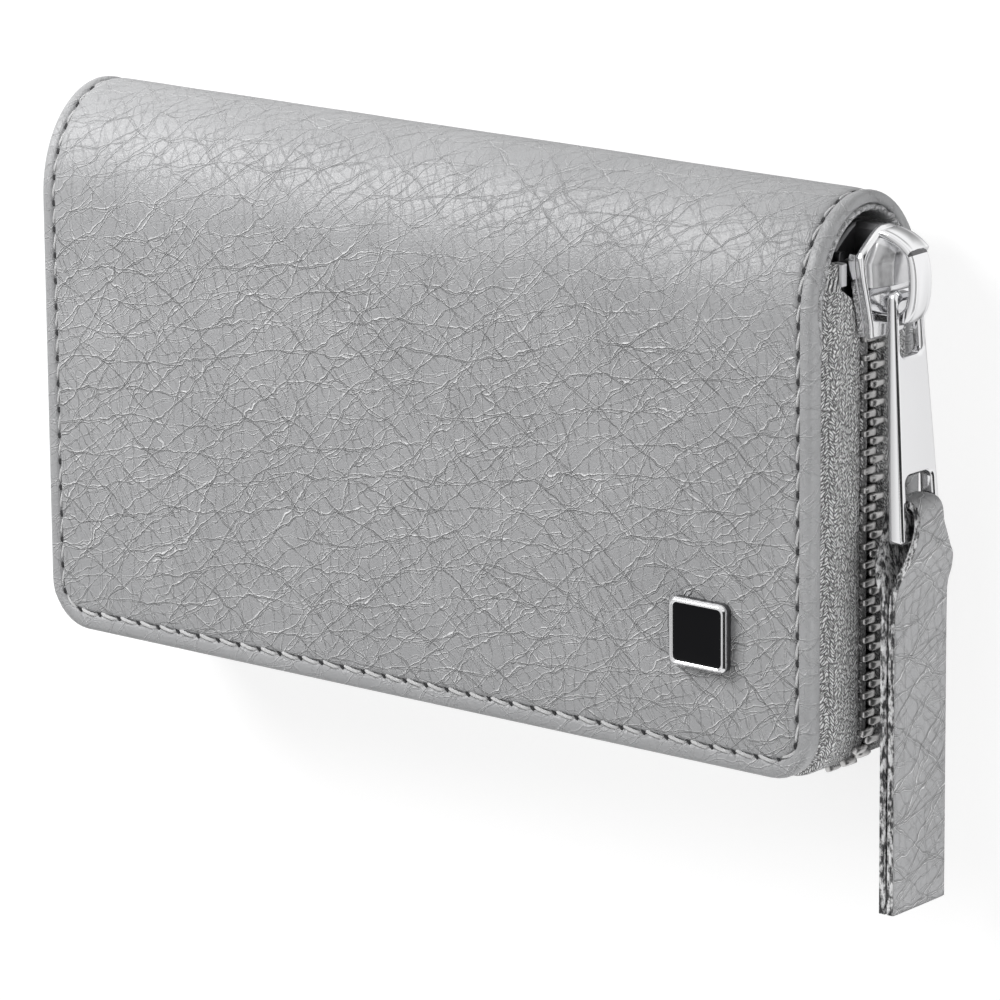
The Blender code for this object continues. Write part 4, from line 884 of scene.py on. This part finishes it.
def make_teeth(material, cord):
    """The rows of teeth, rounded all over, each row with its cord and the long stop beside the slider."""
    sections = (  # z from the middle, share of the length along the zip, share of the width
        (-2.15, 0.42, 0.72), (-2.10, 0.62, 0.90), (-1.95, 0.76, 1.0), (-1.3, 0.80, 1.0),
        (-0.9, 0.86, 1.0), (-0.5, 0.92, 1.0), (-0.1, 0.96, 0.97), (0.2, 0.94, 0.90),
        (0.42, 0.80, 0.78), (0.53, 0.58, 0.6), (0.56, 0.3, 0.35),
    )
    u, v = squarish(16, 0.45, 0.45, 0.5)
    v = v * np.where(v > 0, 1.08, 1.2)
    turn = np.arange(8) * math.pi / 4
    total = zip_length(CHAIN_TOP_Y) - CHAIN_END
    for front in (True, False):
        patch, bead = Patch(), Patch()
        start = 3.0 + TOOTH_PITCH * (1.0 if front else 0.5)
        count = int((total - start) / TOOTH_PITCH)
        places = [(start + i * TOOTH_PITCH + 0.525, TOOTH_LENGTH) for i in range(count)] + [(1.5, 3.0)]
        for along, length in places:
            rows = [chain_point(along + u * length / 2 * a, v * b, z) for z, a, b in sections]
            patch.grid(rows, close=True).fan(rows[-1]).fan(rows[0][::-1])
        rows, flat = [], []
        for along in np.linspace(0.4, total, 320):
            rows.append(chain_point(along, CORD_RADIUS * np.cos(turn), CORD_RADIUS * np.sin(turn) - 1.5))
            flat.append([(along, i * 0.5, 0.0) for i in range(8)])
        bead.grid(rows, flat, close=True)
        name = "front" if front else "back"
        body = "lid" if front else "base"
        change = to_back if front else None
        obj = patch_object("teeth_" + name, patch, material, change)
        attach(obj, body)
        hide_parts(name + "_zip_teeth")
        rope = patch_object("teeth_cord_" + name, bead, cord, change)
        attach(rope, body)


# Badge


def badge_rings(levels):
    """Rings round the badge from (half width, corner radius, z)."""
    return [[(BADGE_X + u, BADGE_Y + v, z) for u, v in rounded_loop(half, half, radius, 7)]
            for half, radius, z in levels]


def make_badge(metal, painted_shade_metal, enamel):
    """A cast square frame, its sides painted with shade low down, with a bevel and a fine inner step, and the enamel
    in it.
    """
    bevel = ((4.5, 1.0, 24.75), (4.5, 1.0, 24.97), (4.48, 0.99, 25.02), (4.43, 0.97, 25.08), (4.27, 0.90, 25.34),
             (4.24, 0.88, 25.38), (4.18, 0.86, 25.40), (4.06, 0.80, 25.40), (4.02, 0.78, 25.38),
             (4.00, 0.77, 25.32), (3.98, 0.76, 25.26), (3.95, 0.74, 25.25), (3.90, 0.72, 25.25),
             (3.87, 0.70, 25.23), (3.85, 0.69, 24.9))
    patch = Patch().grid(badge_rings(bevel), close=True)
    # The lower sides take the dark metal: painted shade, as of the badge's contact shadow.
    patch.kind = 1
    sides = ((4.44, 1.0, 23.86), (4.5, 1.0, 23.95), (4.5, 1.0, 24.1), (4.5, 1.0, 24.75))
    patch.grid(badge_rings(sides), close=True)
    frame_piece = patch_object("badge", patch, (metal, painted_shade_metal))
    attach(frame_piece, "lid")
    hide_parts("badge_frame")
    rings = badge_rings(((3.86, 0.69, 24.9), (3.86, 0.69, 25.15), (3.80, 0.66, 25.20), (3.5, 0.5, 25.225),
                         (2.2, 0.3, 25.24), (0.9, 0.2, 25.25)))
    fill = patch_object("badge_field", Patch().grid(rings, close=True).fan(rings[-1]), enamel)
    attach(fill, "lid")
    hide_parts("badge_enamel")


# Slider, pull tab and strap

# The bridge seen from the slider's side, as (x, y) of its outer line and (x, y) of its inner one.
BRIDGE_TOP = (
    (68.2, 33.35, 68.2, 31.9), (69.0, 33.3, 69.0, 31.8), (70.0, 33.05, 69.8, 31.6), (71.0, 32.65, 70.6, 31.35),
    (72.0, 32.1, 71.4, 30.9), (72.75, 31.55, 72.05, 30.35), (73.0, 31.3, 72.3, 30.15),
)
BRIDGE_BAND = (
    (72.75, 31.05, 71.75, 30.45), (73.1, 30.6, 71.85, 30.1), (73.45, 29.6, 72.0, 29.3), (73.7, 28.2, 72.1, 28.1),
    (73.75, 26.6, 72.15, 26.6), (73.65, 25.0, 72.05, 25.2), (73.3, 23.4, 71.75, 24.1), (72.6, 22.2, 71.2, 23.4),
    (71.6, 21.45, 70.5, 23.0), (70.3, 21.2, 69.7, 22.85), (69.0, 21.2, 68.9, 22.8), (68.2, 21.2, 68.2, 22.8),
)


def slider_loop():
    """The plates' outline, as (across, up the zip) from the slider's middle and lower end."""
    shares = ((0.0, 0.0), (0.40, 0.0), (0.58, 0.01), (0.64, 0.05), (0.66, 0.14), (0.80, 0.36), (0.94, 0.56),
              (1.0, 0.70), (0.985, 0.765), (0.86, 0.825), (0.60, 0.90), (0.34, 0.965), (0.15, 0.995), (0.0, 1.0))
    right = smooth_curve([(u * 5.6, v * 14.3) for u, v in shares], 4)
    return np.concatenate([right, right[::-1][1:-1] * (-1, 1)])


def on_slider(points):
    """From (u, v, w) of a plate to the row frame: u across, v up the zip, w outward."""
    u, v, w = points.T
    return stacked(SLIDER_X + w, SLIDER_Y + v, MID_Z - u)


def band_part(stations, wide):
    """A part of the bridge, with a rib along each side of its outer face."""
    across, up = squarish(48, 0.5, 0.42)
    rib = 1.0 - 0.16 * np.exp(-((np.abs(up) - 0.60) / 0.14) ** 2)
    across = across * np.where(across > 0, rib, 0.9)
    rows = []
    for station in smooth_curve(stations, 5):
        outer, inner = station[:2], station[2:]
        face = (outer + inner) / 2 + np.outer(across, (outer - inner) / 2)
        rows.append(np.column_stack([face, MID_Z + wide * up]))
    return tube(rows)


def dome_part():
    """The raised housing under the bridge: flat facets with narrow rounded edges."""
    base = with_mirror([(-4.2, 26.2), (-4.5, 29.4), (-2.9, 31.9), (-1.2, 33.0)])
    top = with_mirror([(-2.0, 26.5), (-2.0, 29.4), (-1.6, 30.6), (-1.0, 31.2)])
    base, top = np.array(base), np.array(top)
    rows = []
    for share, x in ((0.0, 68.1), (0.0, 68.55), (0.06, 68.85), (0.5, 69.6), (0.88, 70.2), (0.97, 70.36),
                     (1.03, 70.42)):
        loop = base + (top - base) * share
        ring = []
        for before, p, after in zip(np.roll(loop, 1, axis=0), loop, np.roll(loop, -1, axis=0)):
            for q, w in ((before, 0.10), (before, 0.04), (after, 0.04), (after, 0.10)):
                side = q - p
                u, v = p + side * (w if np.hypot(*side) > 1.5 else w * 1.4)
                ring.append((x, v, MID_Z - u))
        rows.append(ring)
    return tube(rows)


def make_slider_piece(polished, inner, cast):
    """Plates, post, the four flanges, the bridge and its housing."""
    loop = slider_loop()
    # The second material, inner, is the near black metal of painted shade: it goes on the lower plate, the post, the
    # lower flanges and the bridge's notch.
    points, faces = plate([loop], PLATE_HALF, 0.34)
    parts = [(on_slider(points + (0, 0, PLATE_GAP)), faces, 0), (on_slider(points - (0, 0, PLATE_GAP)), faces, 1)]
    post = [(0, 7.6), (1.3, 10.7), (1.3, 13.6), (0.6, 14.2), (-0.6, 14.2), (-1.3, 13.6), (-1.3, 10.7)]
    points, faces = plate([post], 1.7, 0.1, chamfer=False)
    parts.append((on_slider(points), faces, 1))
    right = loop[(loop[:, 0] > 0) & (loop[:, 1] > 0.2) & (loop[:, 1] < 11.2)]
    right = right[np.argsort(right[:, 1])]
    flange = ((-0.9, 1.6), (-0.9, 0.72), (-0.82, 0.65), (-0.1, 0.65), (0.0, 0.75), (0.0, 1.6))
    for sign in (1, -1):
        for side in (1, -1):
            rows = [[(sign * (u + a), v, side * w) for a, w in flange] for u, v in right]
            points, faces = tube(rows, flip=sign * side > 0)
            parts.append((on_slider(points), faces, 0 if side > 0 else 1))
    parts += [(*band_part(BRIDGE_TOP, 2.15), 0), (*band_part(BRIDGE_BAND[:2], 1.75), 1),
              (*band_part(BRIDGE_BAND[1:], 1.8), 0), (*dome_part(), 2)]
    all_points, all_faces, kinds = [], [], []
    for points, faces, kind in parts:
        all_faces += [[len(all_points) + int(i) for i in face] for face in faces]
        all_points += list(points)
        kinds += [kind] * len(faces)
    obj = make_mesh("slider", all_points, all_faces, (polished, inner, cast), None, kinds)
    fix_normals(obj)
    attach(obj, "slider")
    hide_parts("slider_body")


def make_tab_piece(material):
    """The pull tab: broader and thicker downwards, with its eye above and its slot below."""
    outer = []
    for corner in ((1.7, -0.55, 1.3, 0.0), (-1.7, -0.55, 1.3, 0.5), (-3.7, -30.8, 0.7, 1.0), (3.7, -30.8, 0.7, 1.5)):
        outer += arc(*corner, 5)
    eye = rounded_loop(2.3, 3.55, 1.15, 6, -4.3)[::-1]
    slot = rounded_loop(2.8, 2.25, 0.9, 6, -25.25)[::-1]
    points, faces = plate([outer, eye, slot], 1.25, 0.42)
    u, v, w = points.T
    share = np.clip((-v - 0.75) / 30.75, 0, 1)
    w = w * (0.75 + 0.5 * share) / 1.25
    c, s = math.cos(TAB_LEAN), math.sin(TAB_LEAN)
    placed = stacked(c * w - s * v, s * w + c * v, -u) + TAB_PIVOT
    obj = make_mesh("tab", placed, faces, material)
    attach(obj, "tab")
    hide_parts("pull_tab")


def strap_line():
    """The middle of the strap's leather, from the tail of the left layer over the bar and down."""
    half = [(-0.60, -50.2), (-0.60, -40.0), (-0.60, -30.0), (-0.60, -20.0), (-0.62, -12.0), (-0.75, -8.6),
            (-1.45, -6.2), (-2.15, -4.0), (-2.33, -1.6), (-2.28, 0.6), (-2.05, 2.2), (-1.45, 2.92), (-0.6, 3.1)]
    dense = smooth_curve(with_mirror(half, [(0.0, 3.12)]), 12)
    length = lengths_along(dense)
    even = np.linspace(0, length[-1], 230)
    return stacked(*(np.interp(even, length, dense[:, i]) for i in (0, 1))), even


def make_strap_piece(skin, raw):
    """The folded strap, pinched and crumpled where it goes through the tab's slot."""
    line, length = strap_line()
    across = np.linspace(-1, 1, 25)
    thick = STRAP_THICK / 2 - 0.10 * np.abs(across) ** 8
    outer, inner, flat = [], [], []
    for p, out, at in zip(line, left_of(np.gradient(line, axis=0)), length):
        pinch = float(smooth_step((p[1] + 7.0) / 8.0))
        z = across * (STRAP_WIDTH + (LOOP_WIDTH - STRAP_WIDTH) * pinch) / 2
        near = math.exp(-((abs(at - length[-1] / 2) - 6.5) / 3.5) ** 2)
        crumple = 0.20 * near * wave(z * 0.35, at * 0.75, 4.0)
        outer.append(np.column_stack([p + np.outer(thick + crumple, out), z]))
        inner.append(np.column_stack([p - np.outer(thick - 0.03, out), z]))
        flat.append(stacked(200 + z, at, 0.0))
    outer, inner, flat = np.array(outer), np.array(inner), np.array(flat)
    patch = Patch().grid(outer, flat, flip=True)
    patch.kind = 1
    patch.grid(inner, flat)
    slices = [((slice(None), end), (STRAP_THICK, 0, 0), end == 0) for end in (0, -1)]
    slices += [(end, (0, STRAP_THICK, 0), end != 0) for end in (0, -1)]
    for cut, shift, flip in slices:
        patch.grid(np.stack([outer[cut], inner[cut]], axis=1), np.stack([flat[cut], flat[cut] + shift], axis=1),
                   flip=flip)
    obj = patch_object("strap", patch, (skin, raw), lambda points: points + STRAP_PIVOT)
    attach(obj, "strap")
    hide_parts("pull_strap")


# Camera, lights and floor


def make_camera():
    """The photo's camera: it looks at `aim` from `distance` metres away."""
    azimuth, elevation, roll = math.radians(39.0), math.radians(14.404), math.radians(-0.486)
    aim, distance = (0.005327, -0.011559, 0.012), 0.88273
    data = bpy.data.cameras.new("camera")
    data.sensor_width, data.lens, data.clip_start = 36.0, 240.32, 0.05
    obj = new_object("camera", data)
    turned = Matrix.Rotation(azimuth, 4, "Y") @ Matrix.Rotation(-elevation, 4, "X") @ Matrix.Rotation(roll, 4, "Z")
    obj.matrix_world = Matrix.Translation(aim) @ turned @ Matrix.Translation((0, 0, distance))
    bpy.context.scene.camera = obj


def area_light(name, place, aim, size, power):
    """A square light that faces `aim`; lengths in metres."""
    data = bpy.data.lights.new(name, "AREA")
    data.shape = "RECTANGLE"
    data.size = data.size_y = size
    data.energy = power
    obj = new_object(name, data)
    obj.location = place
    direction = Vector(aim) - Vector(place)
    obj.rotation_euler = direction.to_track_quat("-Z", "Y").to_euler()
    return obj


def make_world():
    """Soft light all round, and a white room for what the camera sees and the metal mirrors."""
    world = bpy.data.worlds.new("studio")
    bpy.context.scene.world = world
    n = Nodes("studio", world)
    n.tree.nodes.clear()
    camera, shown = n.rays()
    way = n.add("TexCoord").outputs["Generated"]
    # Polished metal shows two tall dark flags among the white, opposite the case's front corner.
    across = n.dot(way, (0.777, 0.0, -0.629))
    beside = n.size(n.minus(n.size(n.minus(across, 0.20)), 0.26))
    above = n.size(n.dot(way, (0.0, 1.0, 0.0)))
    clear = n.larger(n.ramp(beside, 0.11, 0.17, kind="LINEAR"), n.ramp(above, 0.6, 0.8, kind="LINEAR"))
    level = n.math("MULTIPLY_ADD", n.larger(clear, camera, clamp=True), 0.97, 0.03)
    wall = n.ramp(across, -0.97, -0.86, 0.58, kind="LINEAR")
    white = n.add("Background", (1, 1, 1, 1), n.larger(n.times(level, wall), camera))
    soft = n.add("Background", (1, 1, 1, 1), 0.28)
    mix = n.add("MixShader", shown, soft.outputs[0], white.outputs[0])
    n.add("OutputWorld", mix.outputs[0])


def make_floor():
    """A white floor: it shows white with the object's soft shadow, and lights as a pale floor would."""
    reach = 3000.0
    grid_x, grid_y = np.meshgrid(*[np.linspace(-reach, reach, 9)] * 2)
    patch = Patch().grid(stacked(grid_x, grid_y, -0.02))
    n = Nodes("floor")
    n.set(Base_Color=(0.80, 0.80, 0.80, 1), Roughness=0.9, Specular_IOR_Level=0.1)
    camera, shown = n.rays()
    # For mirror rays the glow drops almost to nothing under the case and within 10 mm round it: a painted shadow
    # that the metal reflects.
    spot = n.split(n.add("NewGeometry").outputs["Position"])
    gap = n.larger(n.minus(n.size(spot[0]), 0.067), n.minus(n.size(spot[1]), 0.038))
    near = n.larger(n.ramp(gap, -0.001, 0.010, 0.03, 0.78), n.times(camera, 0.78))
    far = n.ramp(gap, 0.10, 0.60, 0.0, 0.14)
    glow = n.add("Emission", (1, 1, 1, 1), n.plus(near, far))
    pale = n.add("BsdfDiffuse", (0.34, 0.34, 0.34, 1))
    both = n.add("AddShader", pale.outputs[0], glow.outputs[0])
    mix = n.add("MixShader", shown, n.shader.outputs[0], both.outputs[0])
    n.put(n.tree.nodes["Material Output"], "Surface", mix.outputs[0])
    floor = patch_object("floor", patch, n.owner)


def main():
    make_camera()
    make_world()
    make_floor()
    area_light("key", (-0.24, 0.28, 0.29), (0.0, 0.0, 0.0), 0.24, 2.3)
    area_light("fill", (0.52, -0.22, 0.16), (0.05, 0.0, 0.01), 0.35, 2.0).visible_glossy = False
    make_leather(leather_material())
    # The pricks' near black is painted shade of the stitch holes.
    painted_hole_shade = plain_material("stitch_hole", 2500.0, 0.00004, (0.03, 0.03, 0.032), 0.85, 0.5)
    make_stitches(thread_material(), painted_hole_shade)
    lining = cloth_material("lining", (0.016, 0.016, 0.018), 3.0)
    # The turned-in fold takes leather 1.5 times lighter: painted light where it sits in the spine's shade.
    make_spine_inside(leather_material("fold", 1.3, 1.5), lining)
    make_linings(lining)
    make_bands(cloth_material("webbing", (0.02, 0.02, 0.022), 5.0, 1.0))
    tape = tape_material()
    make_tapes(tape)
    nickel = plain_metal("nickel", (0.56, 0.555, 0.55), 0.30, 700.0)
    make_teeth(nickel, tape)
    polished = plain_metal("polished", (0.80, 0.80, 0.81), 0.10, 500.0)
    # A near black metal that paints shade: in the slider's hollow and low on the badge's sides.
    painted_shading = plain_metal("painted_shade_nickel", (0.16, 0.16, 0.165), 0.42, 700.0)
    make_slider_piece(polished, painted_shading, plain_metal("cast_metal", (0.70, 0.70, 0.71), 0.34, 1700.0, 0.000014))
    make_tab_piece(polished)
    enamel = plain_material("enamel", 900.0, 0.000006, (0.004, 0.004, 0.005), 0.10, 0.09)
    make_badge(polished, painted_shading, enamel)
    make_strap_piece(leather_material("strap_leather", 0.7), raw_material())
    # What is left as the CAD has it takes the same materials.
    satin = plain_metal("satin", (0.90, 0.90, 0.91), 0.42, 900.0, 0.00001)
    finishes = {"nickel": nickel, "polished": polished, "steel": steel_material(), "enamel": enamel,
                "board": board_material()}
    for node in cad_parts.values():
        for slot in node.material_slots:
            kind = slot.material.name.split(".")[0]
            if kind in finishes:
                slot.material = finishes[kind]
    for name, material in (("nail_file", file_material()), ("front_tape_clip", satin), ("back_tape_clip", satin)):
        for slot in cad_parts[name].material_slots:
            slot.material = material


main()
bpy.context.scene.view_settings.view_transform = "Standard"
bpy.context.view_layer.update()
